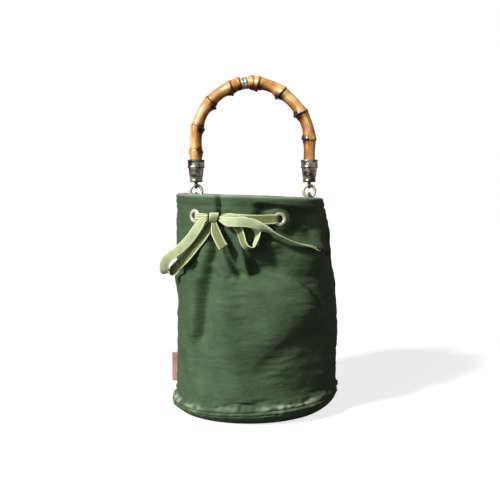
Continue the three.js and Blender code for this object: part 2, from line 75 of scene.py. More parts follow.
HEM_DEPTH = 11.5                # first stitch line below the rim
CHANNEL_DEPTH = 41              # second stitch line below the rim
EYELETS = {"left": (-62.9, 220.8), "right": (26.2, 217.9)}
EYELET_OUTER, EYELET_BARREL, EYELET_BORE = 7.5, 4.5, 3.9
EYELET_CUT = 5.6                # the wall's grid cells nearer than this to an eyelet's middle are left out
RIBBON_WIDTH, RIBBON_THICK = 10.0, 0.6
BASE_CENTRE_X, BASE_FLAT, BASE_SKIN = -7.0, 76.0, 1.2
DISH_HEIGHT, PIPING_HEIGHT, PIPING_RADIUS = 11.5, 13.5, 1.7

# The handle's arch, and its straight legs below
ARCH_X, ARCH_RADIUS, ARCH_Z = -1.5, 64.7, 305.0
CANE_END_Z = 265.5
LEG = ARCH_Z - CANE_END_Z
ARCH_LENGTH = math.pi * ARCH_RADIUS
SHOULDER_DROP = 0.03            # the arch's right shoulder is flatter than a circle by this share
COUPLER_AT = LEG + ARCH_LENGTH * 0.454
COUPLER_WIDTH, COUPLER_RADIUS = 7.0, 6.6
CANE_RADIUS = 6.5
LEG_X = {"left": ARCH_X - ARCH_RADIUS, "right": ARCH_X + ARCH_RADIUS}
FERRULE_TOP, FERRULE_FLOOR, FERRULE_BOTTOM = 283.0, 265.0, 257.4
COLLAR_BOTTOM, COLLAR_OUTER = 273.5, 9.9
RING_AXIS_Z, RING_RADIUS = 253.8, 6.6
RING_SEEN = 1.75                # the wire's radius, with its plating


# ---------------------------------------------------------------- mesh tools
def new_object(name, points, faces, material, uvs=None):
    """points are in millimetres; uvs is one (u, v) in metres for each vertex."""
    mesh = bpy.data.meshes.new(name)
    mesh.from_pydata([tuple(c * MM for c in p) for p in points], [], faces)
    if uvs is not None:
        layer = mesh.uv_layers.new(name="UVMap")
        index = np.empty(len(mesh.loops), int)
        mesh.loops.foreach_get("vertex_index", index)
        layer.data.foreach_set("uv", np.asarray(uvs, float)[index].ravel())
    mesh.validate()
    mesh.materials.append(material)
    mesh.polygons.foreach_set("use_smooth", [True] * len(mesh.polygons))
    obj = bpy.data.objects.new(name, mesh)
    bpy.context.collection.objects.link(obj)
    return obj


def mark_points(piece, name, values):
    """Gives each point of a piece a number that its material reads."""
    layer = piece.data.attributes.new(name, "FLOAT", "POINT")
    layer.data.foreach_set("value", np.asarray(values, float).ravel())


def ring_faces(rings, count, closed=False, caps=True):
    """Faces between successive rings of count points each. closed joins the last ring to the first."""
    faces = []
    for a in range(rings if closed else rings - 1):
        b = (a + 1) % rings
        for i in range(count):
            j = (i + 1) % count
            faces.append((a * count + i, a * count + j, b * count + j, b * count + i))
    if caps and not closed:
        faces.append(tuple(range(count))[::-1])
        faces.append(tuple((rings - 1) * count + i for i in range(count)))
    return faces


def lathe(name, profile, centre, material, steps=64, axis=(0, 0, 1)):
    """Turns a profile, a list of (radius, height) closed on itself, about an axis through centre."""
    turn = Vector((0, 0, 1)).rotation_difference(Vector(axis)).to_matrix()
    points = []
    for radius, height in profile:
        for i in range(steps):
            angle = 2 * math.pi * i / steps
            p = turn @ Vector((radius * math.cos(angle), radius * math.sin(angle), height))
            points.append(tuple(p + Vector(centre)))
    return new_object(name, points, ring_faces(len(profile), steps, closed=True), material)


def ring_round(centre, first, second, radii, turn=1):
    """One ring of points round centre, a point for each radius, turning from one direction to another."""
    angles = turn * 2 * math.pi * np.arange(len(radii)) / len(radii)
    return [centre + radius * (first * math.cos(a) + second * math.sin(a)) for a, radius in zip(angles, radii)]


def rounded(profile, radius=0.35, steps=3):
    """Rounds the corners of a closed profile."""
    out = []
    count = len(profile)
    for i, corner in enumerate(profile):
        c = np.array(corner, float)
        before = np.array(profile[i - 1], float) - c
        after = np.array(profile[(i + 1) % count], float) - c
        reach = min(radius, np.linalg.norm(before) / 2.2, np.linalg.norm(after) / 2.2)
        a = c + before / np.linalg.norm(before) * reach
        b = c + after / np.linalg.norm(after) * reach
        for k in range(steps + 1):
            t = k / steps
            out.append(tuple((1 - t) ** 2 * a + 2 * t * (1 - t) * c + t ** 2 * b))
    return out


def catmull(points, count):
    """Evenly spaced points on a centripetal Catmull-Rom curve, the same curve as the CAD's."""
    p = np.asarray(points, float)
    p = np.vstack([2 * p[0] - p[1], p, 2 * p[-1] - p[-2]])
    out = []
    for i in range(1, len(p) - 2):
        p0, p1, p2, p3 = p[i - 1:i + 3]
        t1 = np.linalg.norm(p1 - p0) ** 0.5
        t2 = t1 + np.linalg.norm(p2 - p1) ** 0.5
        t3 = t2 + np.linalg.norm(p3 - p2) ** 0.5
        for t in np.linspace(t1, t2, 24, endpoint=False):
            a1 = (t1 - t) / t1 * p0 + t / t1 * p1
            a2 = (t2 - t) / (t2 - t1) * p1 + (t - t1) / (t2 - t1) * p2
            a3 = (t3 - t) / (t3 - t2) * p2 + (t - t2) / (t3 - t2) * p3
            b1 = (t2 - t) / t2 * a1 + t / t2 * a2
            b2 = (t3 - t) / (t3 - t1) * a2 + (t - t1) / (t3 - t1) * a3
            out.append((t2 - t) / (t2 - t1) * b1 + (t - t1) / (t2 - t1) * b2)
    out.append(p[-2])
    out = np.array(out)
    far = np.concatenate([[0], np.cumsum(np.linalg.norm(np.diff(out, axis=0), axis=1))])
    at = np.linspace(0, far[-1], count)
    return np.column_stack([np.interp(at, far, out[:, k]) for k in range(3)]), far[-1]


def tangents(path):
    t = np.gradient(path, axis=0)
    return t / np.linalg.norm(t, axis=1)[:, None]


def smoothstep(t):
    return t * t * (3 - 2 * t)


def coat(node, material):
    """Gives a CAD node that stays visible a material."""
    for s in bpy.data.objects[node].material_slots:
        s.material = material


# ---------------------------------------------------------------- materials
class Look:
    """A shader tree being built. A node's inputs are plain values or other nodes' sockets."""

    def __init__(self, tree):
        self.nodes, self.links = tree.nodes, tree.links

    def fill(self, node, inputs):
        for key, value in inputs.items():
            if isinstance(value, bpy.types.NodeSocket):
                self.links.new(value, node.inputs[key])
            else:
                node.inputs[key].default_value = value

    def add(self, kind, inputs=None, output=0, **settings):
        """Makes a node and gives one of its outputs."""
        node = self.nodes.new("ShaderNode" + kind)
        for key, value in settings.items():
            setattr(node, key, value)
        self.fill(node, inputs or {})
        return node.outputs[output]

    def uv(self):
        return self.add("UVMap", uv_map="UVMap")

    def place(self):
        return self.add("TexCoord", output="Object")

    def attribute(self, name):
        return self.add("Attribute", output="Fac", attribute_name=name)

    def noise(self, vector, scale, detail=3, roughness=0.5):
        return self.add("TexNoise", {
            "Vector": vector, "Scale": scale, "Detail": detail, "Roughness": roughness}, "Fac")

    def streaks(self, vector, stretch, detail=3, roughness=0.5):
        """Noise with its own scale along each axis."""
        return self.noise(self.add("Mapping", {"Vector": vector, "Scale": stretch}), 1.0, detail, roughness)

    def wave(self, vector, scale, direction):
        return self.add("TexWave", {"Vector": vector, "Scale": scale}, "Fac", bands_direction=direction)

    def calculate(self, operation, *values):
        """One math operation on sockets and numbers."""
        return self.add("Math", dict(enumerate(values)), operation=operation)

    def weighted(self, *terms):
        """Adds up sockets, each multiplied by its weight."""
        parts = [self.calculate("MULTIPLY", *term) for term in terms]
        total = parts[0]
        for part in parts[1:]:
            total = self.calculate("ADD", total, part)
        return total

    def spread(self, value, low, high, ends="To"):
        """Maps 0..1 to low..high, or low..high to 0..1 when ends is From."""
        return self.add("MapRange", {"Value": value, ends + " Min": low, ends + " Max": high})

    def ramp(self, tone, *stops):
        node = self.nodes.new("ShaderNodeValToRGB")
        elements = node.color_ramp.elements
        while len(elements) < len(stops):
            elements.new(0.5)
        for element, (at, colour) in zip(elements, stops):
            element.position = at
            element.color = (*colour, 1)
        self.links.new(tone, node.inputs[0])
        return node.outputs[0]

    def mix(self, share, a, b):
        """Mixes two colours, each a socket or a plain RGBA."""
        return self.add("Mix", {"Factor": share, "A": a, "B": b}, "Result", data_type="RGBA")

    def bump(self, height, distance, strength=1.0, **under):
        """under may give the Normal that this bump is laid over."""
        return self.add("Bump", {"Height": height, "Distance": distance, "Strength": strength, **under})

    def studio_white(self, own, seen):
        """Mixes two shaders: seen is what the camera sees directly, and own lights the bag."""
        direct = self.add("LightPath", output="Is Camera Ray")
        return self.add("MixShader", {0: direct, 1: own, 2: seen})


def new_look(name):
    """A new material, its shader tree and its main shader."""
    material = bpy.data.materials.new(name)
    material.use_nodes = True
    tree = material.node_tree
    return material, Look(tree), tree.nodes["Principled BSDF"]


def woven(name, dark, light, pitch, roughness, sheen, patch_scale=28.0):
    """A plain woven cloth. pitch is the distance between threads, in metres, along its UV map."""
    material, look, shader = new_look(name)
    uv = look.uv()
    weave = look.calculate("MAXIMUM", *(look.wave(uv, 0.5 / pitch, direction) for direction in "XY"))
    patches = look.noise(look.place(), patch_scale, 4, 0.6)
    slubs = look.streaks(uv, (90, 900, 1), 2)
    tone = look.weighted((patches, 1), (slubs, 0.35), (weave, 0.16))
    # A paler colour is mixed in by an attribute: a painted highlight along the rim's fold, and pale blotches on
    # the seams
    pale_colour = tuple(0.16 + 1.6 * c for c in light)
    threads = look.bump(weave, 0.00006)
    soft_creases = look.streaks(uv, (160, 340, 1), 4, 0.55)
    look.fill(shader, {
        "Base Color": look.mix(look.attribute("highlight_and_paling"), look.ramp(tone, (0.45, dark), (1.0, light)), (*pale_colour, 1)),
        "Roughness": look.spread(patches, roughness - 0.08, roughness + 0.1),
        "Sheen Weight": sheen,
        "Sheen Roughness": 0.45,
        "Specular IOR Level": 0.15,
        "Normal": look.bump(soft_creases, 0.0010, 0.65, Normal=threads),
    })
    return material


def metal(name, dark, light, roughness, metallic=1.0, cloud_scale=180):
    """Cast metal with clouds of wear between two colours."""
    material, look, shader = new_look(name)
    body = look.place()
    cloud = look.noise(body, cloud_scale, 4, 0.65)
    scratches = look.noise(body, 900, 4, 0.6)
    look.fill(shader, {
        "Base Color": look.ramp(cloud, (0.4, dark), (0.62, light)),
        "Metallic": metallic,
        "Roughness": look.spread(scratches, roughness * 0.7, roughness * 1.5),
        "Normal": look.bump(scratches, 0.00002),
    })
    return material


def plain_wood(name, dark, light, roughness):
    material, look, shader = new_look(name)
    grain = look.streaks(look.place(), (60, 900, 900), 4, 0.6)
    look.fill(shader, {
        "Base Color": look.ramp(grain, (0.3, dark), (0.7, light)),
        "Roughness": roughness,
        "Normal": look.bump(grain, 0.0001),
    })
    return material


def ribbon_cloth():
    """Ribbed ribbon, pale green with paler, smoother selvedges, and a darker olive copy of its colour on one face
    as painted shade.

    u is 0 along its middle line, in metres, and one attribute is 1 on the face with painted shade."""
    material, look, shader = new_look("pale_green_ribbon")
    uv = look.uv()
    off_middle = look.calculate("ABSOLUTE", look.add("SeparateXYZ", {0: uv}, "X"))
    selvedge = look.spread(off_middle, 0.0034, 0.0041, "From")
    ribs = look.wave(uv, 1 / 0.0018, "Y")
    tone = look.weighted((ribs, 0.25), (look.noise(look.place(), 110, 3, 0.6), 1))
    pale = look.ramp(tone, (0.3, (0.34, 0.40, 0.195)), (0.9, (0.56, 0.63, 0.37)))
    # painted shade: a darker olive copy of the ribbon's colour, for one face of each strand
    painted_shade = look.ramp(tone, (0.3, (0.14, 0.165, 0.05)), (0.9, (0.27, 0.31, 0.115)))
    body = look.mix(look.attribute("painted_shade_side"), pale, painted_shade)
    look.fill(shader, {
        "Base Color": look.mix(selvedge, body, (0.60, 0.67, 0.43, 1)),
        "Roughness": 0.7,
        "Specular IOR Level": 0.2,
        "Sheen Weight": 0.05,
        "Normal": look.bump(ribs, 0.0001),
    })
    return material


def bamboo():
    """Varnished cane: u runs round it and v along it, in metres. An attribute darkens it where it is 1 and
    lightens it below 0: stains round the nodes, painted shade along the inner side, and a painted highlight beside
    each node.
    """
    material, look, shader = new_look("honey_bamboo")
    uv = look.uv()
    streaks = look.streaks(uv, (700, 26, 1), 4, 0.65)
    clouds = look.streaks(uv, (45, 30, 1), 3, 0.55)
    tone = look.weighted((streaks, 0.6), (clouds, 0.8), (look.attribute("stains_shade_and_highlight"), -0.48))
    colour = look.ramp(
        look.calculate("SUBTRACT", tone, 0.15),
        (0.14, (0.055, 0.016, 0.004)),
        (0.32, (0.30, 0.10, 0.02)),
        (0.50, (0.58, 0.27, 0.075)),
        (0.70, (0.92, 0.68, 0.34)),
    )
    scorch = look.noise(look.place(), 75, 3, 0.6)
    burnt = look.ramp(scorch, (0.60, (0, 0, 0)), (0.74, (0.55, 0.55, 0.55)))
    look.fill(shader, {
        "Base Color": look.mix(burnt, colour, (0.22, 0.07, 0.014, 1)),
        "Roughness": 0.33,
        "Coat Weight": 0.6,
        "Coat Roughness": 0.12,
        "Normal": look.bump(streaks, 0.00025),
    })
    return material


COTTON = woven("green_cotton", (0.028, 0.053, 0.026), (0.070, 0.113, 0.057), 0.0007, 0.78, 0.04)
LINING_CLOTH = woven("green_lining", (0.018, 0.034, 0.016), (0.04, 0.065, 0.034), 0.0006, 0.85, 0.03)
RIBBON_CLOTH = ribbon_cloth()
LABEL_CLOTH = woven("dusty_red_label", (0.25, 0.12, 0.105), (0.45, 0.26, 0.23), 0.0006, 0.85, 0.05, 90)
THREAD = woven("green_thread", (0.045, 0.085, 0.04), (0.09, 0.145, 0.07), 0.0004, 0.75, 0.05, 200)
PEWTER = metal("dark_pewter", (0.055, 0.045, 0.035), (0.78, 0.71, 0.57), 0.24, 0.85, 130)
WORN_PEWTER = metal("worn_pewter", (0.36, 0.33, 0.27), (0.74, 0.69, 0.58), 0.3, 0.6, 260)
PALE_METAL = metal("pale_metal", (0.66, 0.59, 0.46), (0.84, 0.78, 0.66), 0.3, 0.45)
BAMBOO = bamboo()
BOARD = plain_wood("grey_board", (0.18, 0.14, 0.09), (0.30, 0.25, 0.17), 0.9)
HARDWOOD = plain_wood("dowel_wood", (0.30, 0.17, 0.08), (0.52, 0.33, 0.17), 0.7)


# ---------------------------------------------------------------- camera
CAMERA_DISTANCE = 850.0
CAMERA_HEIGHT = 245.0
CAMERA_PITCH = 4.4
CAMERA_X = -4.6
LENS = 53.24


def make_camera():
    data = bpy.data.cameras.new("camera")
    data.lens = LENS
    data.sensor_width = 36
    data.clip_end = 20
    camera = bpy.data.objects.new("camera", data)
    camera.location = (CAMERA_X * MM, -CAMERA_DISTANCE * MM, CAMERA_HEIGHT * MM)
    camera.rotation_euler = (math.radians(90 - CAMERA_PITCH), 0, 0)
    bpy.context.collection.objects.link(camera)
    bpy.context.scene.camera = camera


make_camera()


# ---------------------------------------------------------------- the bag's wall as a grid
HEIGHTS = np.linspace(BOTTOM, TOP, ROWS)
ANGLES = np.linspace(0, 2 * math.pi, COLUMNS, endpoint=False)


def smooth_rows():
    """The wall rows at the grid's heights, with softened corners."""
    fine = np.linspace(BOTTOM, TOP, 600)
    columns = []
    kernel = np.exp(-np.linspace(-2, 2, 41) ** 2)
    kernel /= kernel.sum()
    for k in range(1, 5):
        values = np.interp(fine, WALL_ROWS[:, 0], WALL_ROWS[:, k])
        padded = np.concatenate([2 * values[0] - values[20:0:-1], values, 2 * values[-1] - values[-2:-22:-1]])
        columns.append(np.interp(HEIGHTS, fine, np.convolve(padded, kernel, "valid")))
    return columns


def plan_points(height, left, right, depth, roundness, inset=0.0):
    """The wall's outline at one height: points [column, xyz]."""
    cos, sin = np.cos(ANGLES), np.sin(ANGLES)
    swell = (np.abs(cos) ** roundness + np.abs(sin) ** roundness) ** (-1 / roundness)
    x = (left + right) / 2 + cos * (swell * (right - left) / 2 - inset)
    y = sin * (swell * depth - inset)
    rim = max(0.0, (height - TILT_FROM) / (TOP - TILT_FROM))
    welt = min(1.0, max(0.0, (WELT_TILT_TO - height) / (WELT_TILT_TO - BOTTOM)))
    z = height - (RIM_TILT * rim - WELT_TILT * welt) * (x - TILT_MIDDLE_X)
    return np.column_stack([x, y, z])


BASE = np.stack([plan_points(*row) for row in zip(HEIGHTS, *smooth_rows())])
# Each grid point's place on the unrolled wall: millimetres round from the front's middle, and height
AROUND = (np.degrees(ANGLES) - 270 + 180) % 360 - 180
AROUND = np.radians(AROUND) * ARC
U, V = np.meshgrid(AROUND, HEIGHTS)
FRONT = np.argsort(AROUND)[COLUMNS // 4:3 * COLUMNS // 4]


def front(x, z):
    """The unrolled place of the front wall's point at x and height z."""
    row = BASE[int(np.argmin(np.abs(HEIGHTS - z)))]
    return float(np.interp(x, row[FRONT, 0], AROUND[FRONT])), z


def wrap(distance):
    """The shortest way round the bag."""
    return (distance + ALL_ROUND / 2) % ALL_ROUND - ALL_ROUND / 2


def along_fold(path):
    """For each grid point, its signed distance from a fold's line and how far along the line it is, 0 to 1.

    Walking along the line, the distance is positive on the left hand."""
    best = np.full(U.shape, 1e9)
    side = np.zeros(U.shape)
    where = np.zeros(U.shape)
    path = np.asarray(path, float)
    lengths = np.linalg.norm(np.diff(path, axis=0), axis=1)
    total = lengths.sum()
    done = 0.0
    for (a, b), length in zip(zip(path[:-1], path[1:]), lengths):
        d = (b - a) / length
        px, pz = wrap(U - a[0]), V - a[1]
        t = np.clip(px * d[0] + pz * d[1], 0, length)
        ox, oz = px - t * d[0], pz - t * d[1]
        distance = np.hypot(ox, oz)
        closer = distance < best
        best = np.where(closer, distance, best)
        side = np.where(closer, np.where(d[0] * oz - d[1] * ox >= 0, 1.0, -1.0), side)
        where = np.where(closer, (done + t) / total, where)
        done += length
    return best * side, where


def ends_fade(where, fade):
    """1 along a fold, and down to 0 over a share of its length at each end."""
    ends = np.clip(np.minimum(where, 1 - where) / fade, 0, 1)
    return smoothstep(ends)


def ridge(path, rise, width, fade=0.25):
    """A rounded ridge, or a valley where rise is negative, which dies away at both ends."""
    distance, where = along_fold(path)
    return rise * np.exp(-(distance / width) ** 2) * ends_fade(where, fade)


def lip(path, proud, proud_reach, sunk, sunk_reach, sharp=1.5, fade=0.2):
    """A fold's edge. Walking along it, the cloth stands proud on the right hand and is sunk on the left."""
    distance, where = along_fold(path)
    edge = np.tanh(np.abs(distance) / sharp)
    right = proud * np.exp(-(distance / proud_reach) ** 2)
    left = -sunk * np.exp(-(distance / sunk_reach) ** 2)
    return np.where(distance < 0, right, left) * edge * ends_fade(where, fade)


def bulge(centre, rise, wide, tall):
    """A soft round swelling, or a hollow where rise is negative."""
    return rise * np.exp(-(wrap(U - centre[0]) / wide) ** 2 - ((V - centre[1]) / tall) ** 2)


def on_front(*points):
    """A fold's line, given by x and height on the front of the bag."""
    return [front(x, z) for x, z in points]


def wrinkle_field(scale_round, scale_up, seed):
    """Smooth noise on the unrolled wall, stretched round it or up it."""
    out = np.empty(U.shape)
    for i, height in enumerate(HEIGHTS):
        for j, angle in enumerate(ANGLES):
            x, y = math.cos(angle) * ARC / scale_round, math.sin(angle) * ARC / scale_round
            out[i, j] = noise.noise(Vector((x, y, height / scale_up + seed)))
    return out


def front_folds():
    """The folds seen on the front, in millimetres out from the smooth wall."""
    total = lip(on_front((-39, 262), (-39, 240), (-38.5, 226), (-40, 212)), 1.6, 26, 5.0, 10, 1.3, 0.1)
    total += ridge(on_front((-36, 232), (-22, 226), (-6, 221), (4, 216)), 3.6, 5)
    # the rim overhangs the channel, where the cloth is drawn in right of the bow
    total += lip(on_front((70, 229), (54, 230), (36, 232), (16, 234), (-4, 236)), 2.2, 9, 10.5, 27, 2.2, 0.2)
    total += ridge(on_front((-8, 212), (14, 208), (36, 206), (58, 206), (76, 207)), -7.0, 10, 0.3)
    total += ridge(on_front((42, 200), (56, 208), (70, 215)), 2.6, 5)
    total += ridge(on_front((60, 185), (72, 181), (86, 178)), -5.5, 3.4)
    # the hollow under the bow, with a raised flap of cloth right of it
    total += bulge(front(13, 168), -13.0, 20, 12)
    total += bulge(front(64, 180), 9.0, 27, 15)
    total += bulge(front(20, 197), 6.0, 19, 8)
    total += lip(on_front((-16, 202), (-11, 186), (-7, 170), (-4, 158)), 3.2, 6, 3.5, 14, 1.6, 0.2)
    # gathers under the knot
    total += lip(on_front((-36, 200), (-31.5, 184), (-26.5, 174), (-20.5, 163), (-16, 153)), 3.0, 8, 8.5, 9, 2.6)
    total += ridge(on_front((-50, 175), (-44, 168), (-36, 162), (-26, 156)), 3.6, 4.2)
    total += lip(on_front((-44, 208), (-47, 187), (-53, 165), (-57, 150), (-60, 132), (-62.5, 108), (-65.5, 80)),
                 5.6, 12, 12.0, 13, 3.8, 0.15)
    total += ridge(on_front((-64, 196), (-60, 184), (-64, 172), (-76, 165)), -5.0, 9)
    # the creases that top the smooth lower part
    total += lip(on_front((-96, 156), (-80, 157), (-66, 159), (-55, 161)), 3.6, 20, 5.0, 14, 1.4, 0.12)
    total += lip(on_front((-52, 157), (-30, 157), (-6, 158.5), (14, 159), (34, 158), (48, 153), (58, 145),
                          (66, 132), (71, 114)), 3.3, 23, 4.8, 11, 1.8, 0.12)
    # the lower right sags away from the light
    total += lip(on_front((84, 112), (60, 108), (39, 98), (21, 86), (7, 74), (-3, 62), (-10, 44)),
                 2.6, 34, 5.0, 42, 11.0, 0.2)
    total += bulge(front(70, 40), -9.0, 42, 38)
    total += bulge(front(-20, 110), 1.6, 30, 46)
    total += bulge(front(44, 130), 4.0, 26, 26)
    for x, z, rise in ((74, 128, 2.2), (79, 114, 2.4), (83, 99, 2.0), (79, 84, 2.2), (85, 67, 2.0), (80, 50, 1.8)):
        total += ridge(on_front((x - 7, z + 4), (x, z), (x + 8, z - 6)), rise, 2.8, 0.4)
    # the eyelets stay near their place, and the base seam stays in its own
    held, held_reach = 0.82, 14.5
    for x, z in EYELETS.values():
        u, _ = front(x, z)
        total *= 1 - held * np.exp(-(np.hypot(wrap(U - u), V - z) / held_reach) ** 3)
    return total * np.clip((V - BOTTOM) / 14, 0, 1)


def folds():
    """How far each grid point stands out from the smooth wall, in millimetres."""
    low = np.clip((V - BOTTOM) / 14, 0, 1)
    seen = np.exp(-(np.abs(U) / 155) ** 8)
    total = front_folds()
    # broad gathers round the rest of the mouth, where the drawstring takes up the cloth
    for degrees, rise, width in (
        (66, 2.4, 7), (84, -2.6, 6), (104, 2.2, 8), (126, -2.4, 7), (146, 2.4, 8), (166, -2.2, 7),
        (188, 2.2, 8), (206, -2.4, 6), (228, 2.4, 7), (250, -2.0, 6), (276, 1.6, 8),
    ):
        u = math.radians(degrees) * ARC
        total += ridge([(u, 262), (u + 2, 236), (u + 5, 200), (u + 3, 165)], rise, width, 0.3)
    # the two side seams
    for u in SIDE_SEAMS:
        total += ridge([(u, 262), (u, BOTTOM)], 0.8, 1.8, 0.02)
    # slack, fine wrinkles that run round the bag, and puckers at the base seam
    total += (3.2 - 2.2 * seen) * wrinkle_field(46, 40, 3.1) * low
    total += (1.8 - 1.0 * seen) * wrinkle_field(34, 10, 11.7) * low
    patchy = np.clip(0.5 + 1.6 * wrinkle_field(38, 30, 57.0), 0, 1.4)
    total += (1.2 - 0.3 * seen) * wrinkle_field(19, 4.2, 23.9) * patchy * low
    puckers = wrinkle_field(5.5, 60, 41.3)
    total += 3.4 * puckers * np.exp(-((V - BOTTOM - 4) / 6.0) ** 2) * np.clip((V - BOTTOM) / 3, 0.2, 1)
    # the stitched lines pull in
    for depth, rise in ((HEM_DEPTH, -0.8), (CHANNEL_DEPTH, -0.8)):
        total += rise * np.exp(-((V - (TOP - depth)) / 1.1) ** 2)
    return total


def outward(grid):
    """Unit normals of the grid, pointing out."""
    du = np.roll(grid, -1, axis=1) - np.roll(grid, 1, axis=1)
    dv = np.gradient(grid, axis=0)
    n = np.cross(du, dv)
    return n / np.linalg.norm(n, axis=2)[:, :, None]


def flatten_at(grid, place, radius, blend_width):
    """Presses the wall flat round an eyelet, and gives the eyelet's centre and direction."""
    x, z = place
    near = np.hypot(grid[:, :, 0] - x, grid[:, :, 2] - z)
    near = np.where(grid[:, :, 1] < 0, near, 1e9)
    inside = near < radius
    middle = grid[inside].mean(axis=0)
    normal = outward(grid)[inside].mean(axis=0)
    normal[2] *= 0.4
    normal /= np.linalg.norm(normal)
    off = (grid - middle) @ normal
    weight = smoothstep(np.clip((radius + blend_width - near) / blend_width, 0, 1))
    grid -= (off * weight)[:, :, None] * normal
    y = middle[1] - ((x - middle[0]) * normal[0] + (z - middle[2]) * normal[2]) / normal[1]
    return np.array([x, y, z]), normal


def cloth_settle(grid):
    """Lets the dented wall settle as cloth, held at its hems, and keeps each point near its start.

    Every second point is simulated, and the moves are spread over the whole grid."""
    frames, furthest = 16, 3.0
    coarse = grid[::2, ::2]
    rows, columns = coarse.shape[:2]
    mesh = bpy.data.meshes.new("settling")
    mesh.from_pydata((coarse.reshape(-1, 3) * MM).tolist(), [], ring_faces(rows, columns, caps=False))
    obj = bpy.data.objects.new("settling", mesh)
    bpy.context.collection.objects.link(obj)
    hold = obj.vertex_groups.new(name="hold")
    for i in range(rows):
        if i < 2 or HEIGHTS[2 * i] > TOP - CHANNEL_DEPTH:
            hold.add(list(range(i * columns, (i + 1) * columns)), 1.0, "REPLACE")
    modifier = obj.modifiers.new("cloth", "CLOTH")
    settings = modifier.settings
    settings.quality = 5
    settings.mass = 0.25
    settings.tension_stiffness = 12
    settings.compression_stiffness = 6
    settings.shear_stiffness = 3
    settings.bending_stiffness = 0.4
    settings.shrink_min = -0.03
    settings.vertex_group_mass = "hold"
    settings.use_pressure = True
    settings.uniform_pressure_force = 0.6
    modifier.collision_settings.use_self_collision = False
    scene = bpy.context.scene
    for k in range(1, frames + 1):
        scene.frame_set(k)
    settled = obj.evaluated_get(bpy.context.evaluated_depsgraph_get()).to_mesh()
    out = np.empty(rows * columns * 3)
    settled.vertices.foreach_get("co", out)
    scene.frame_set(1)
    bpy.data.objects.remove(obj)
    moved = out.reshape(coarse.shape) / MM - coarse
    far = np.linalg.norm(moved, axis=2)[:, :, None]
    moved *= np.minimum(1, furthest / np.maximum(far, 1e-6))
    moved = (moved + (np.roll(moved, 1, axis=1) + np.roll(moved, -1, axis=1)) / 2) / 2
    # Back to the whole grid: first its rows, then its columns
    at_rows = np.minimum(np.arange(ROWS) / 2, rows - 1)
    low = at_rows.astype(int)
    high = np.minimum(low + 1, rows - 1)
    share = (at_rows - low)[:, None, None]
    tall = moved[low] * (1 - share) + moved[high] * share
    between = (tall + np.roll(tall, -1, axis=1)) / 2
    spread = np.empty(grid.shape)
    spread[:, ::2], spread[:, 1::2] = tall, between
    return grid + spread


def make_wall():
    """The finished wall's grid, and each eyelet's centre and direction."""
    grid = BASE + folds()[:, :, None] * outward(BASE) * np.array([1, 1, 0])
    grid = cloth_settle(grid)
    places = {side: flatten_at(grid, place, EYELET_OUTER + 1, 6) for side, place in EYELETS.items()}
    return grid, places


WALL, EYELET_PLACES = make_wall()
# Directions out of the wall, nearly level, so that the layers under it keep their heights
NORMALS = outward(WALL)
NORMALS[:, :, 2] *= 0.3
NORMALS /= np.linalg.norm(NORMALS, axis=2)[:, :, None]


# Pale blotches of the base seam: place round the bag, how pale, half width
PALE_SEAM_BLOTCHES = [
    (28, 1.0, 24), (61, 0.9, 10), (-74, 0.8, 14), (-116, 1.0, 16), (-30, 0.35, 14), (150, 0.6, 30), (230, 0.6, 30),
]


def seam_paling(u):
    """How pale the base seam is at a place round the bag: a few blotches."""
    paling = sum(much * np.exp(-(wrap(u - at) / wide) ** 4) for at, much, wide in PALE_SEAM_BLOTCHES)
    return np.minimum(paling, 1)


# The cloth is paler along the rim's fold, as a painted highlight, on the side seams and on the puckers of the base
# seam
HIGHLIGHT_AND_PALING = 0.9 * np.exp(-((TOP - V) / 2.0) ** 2)
for seam in SIDE_SEAMS:
    HIGHLIGHT_AND_PALING += 0.3 * np.exp(-((U - seam) / 3.0) ** 2) * np.clip(0.6 + 1.5 * wrinkle_field(8, 9, 91.0), 0, 1)
HIGHLIGHT_AND_PALING += (seam_paling(U) * np.clip(0.8 + 1.6 * wrinkle_field(6, 5, 77.0), 0, 1) * 0.95
         * np.exp(-((V - BOTTOM - 1.5) / 5.5) ** 4))


def wall_layer(rows, inset, roll=0.0):
    """The wall's grid at a depth below its surface. The last rows lean in by roll at the rim."""
    lean = np.clip((HEIGHTS[rows] - TOP + ROLL) / ROLL, 0, 1)
    lean = roll * (1 - np.sqrt(1 - lean ** 2))
    return WALL[rows] - NORMALS[rows] * (inset + lean)[:, None, None]


def layer_uv(rows):
    """The unrolled wall's own place as a UV map."""
    u = np.tile(np.arange(COLUMNS) * (ALL_ROUND / COLUMNS), (len(rows), 1))
    v = np.repeat(HEIGHTS[rows][:, None], COLUMNS, axis=1)
    return np.stack([u, v], axis=2).reshape(-1, 2) * MM


def cloth_tube(name, rows, outer, inner, material, holes=(), hole_radius=0.0, roll=0.0):
    """A band of cloth round the bag, between two depths below the wall's surface, with round holes."""
    outside = wall_layer(rows, outer, roll).reshape(-1, 3)
    inside = wall_layer(rows, inner, roll).reshape(-1, 3)
    count = len(outside)
    faces = []
    open_edges = {}
    for i in range(len(rows) - 1):
        for j in range(COLUMNS):
            k = (j + 1) % COLUMNS
            quad = (i * COLUMNS + j, i * COLUMNS + k, (i + 1) * COLUMNS + k, (i + 1) * COLUMNS + j)
            middle = outside[list(quad)].mean(axis=0)
            if any(np.linalg.norm(middle - centre) < hole_radius for centre in holes):
                continue
            faces.append(quad)
            for a, b in zip(quad, quad[1:] + quad[:1]):
                if (b, a) in open_edges:
                    del open_edges[(b, a)]
                else:
                    open_edges[(a, b)] = True
    back = [tuple(count + v for v in quad)[::-1] for quad in faces]
    edges = [(b, a, a + count, b + count) for a, b in open_edges]
    points = np.vstack([outside, inside])
    uvs = np.vstack([layer_uv(rows)] * 2)
    front_used = sorted({v for face in faces for v in face})
    used = front_used + [v + count for v in front_used]
    renumber = {old: new for new, old in enumerate(used)}
    faces = [tuple(renumber[v] for v in face) for face in faces + back + edges]
    piece = new_object(name, points[used], faces, material, uvs=uvs[used])
    mark_points(piece, "highlight_and_paling", np.tile(HIGHLIGHT_AND_PALING[rows].ravel(), 2)[used])
    return piece


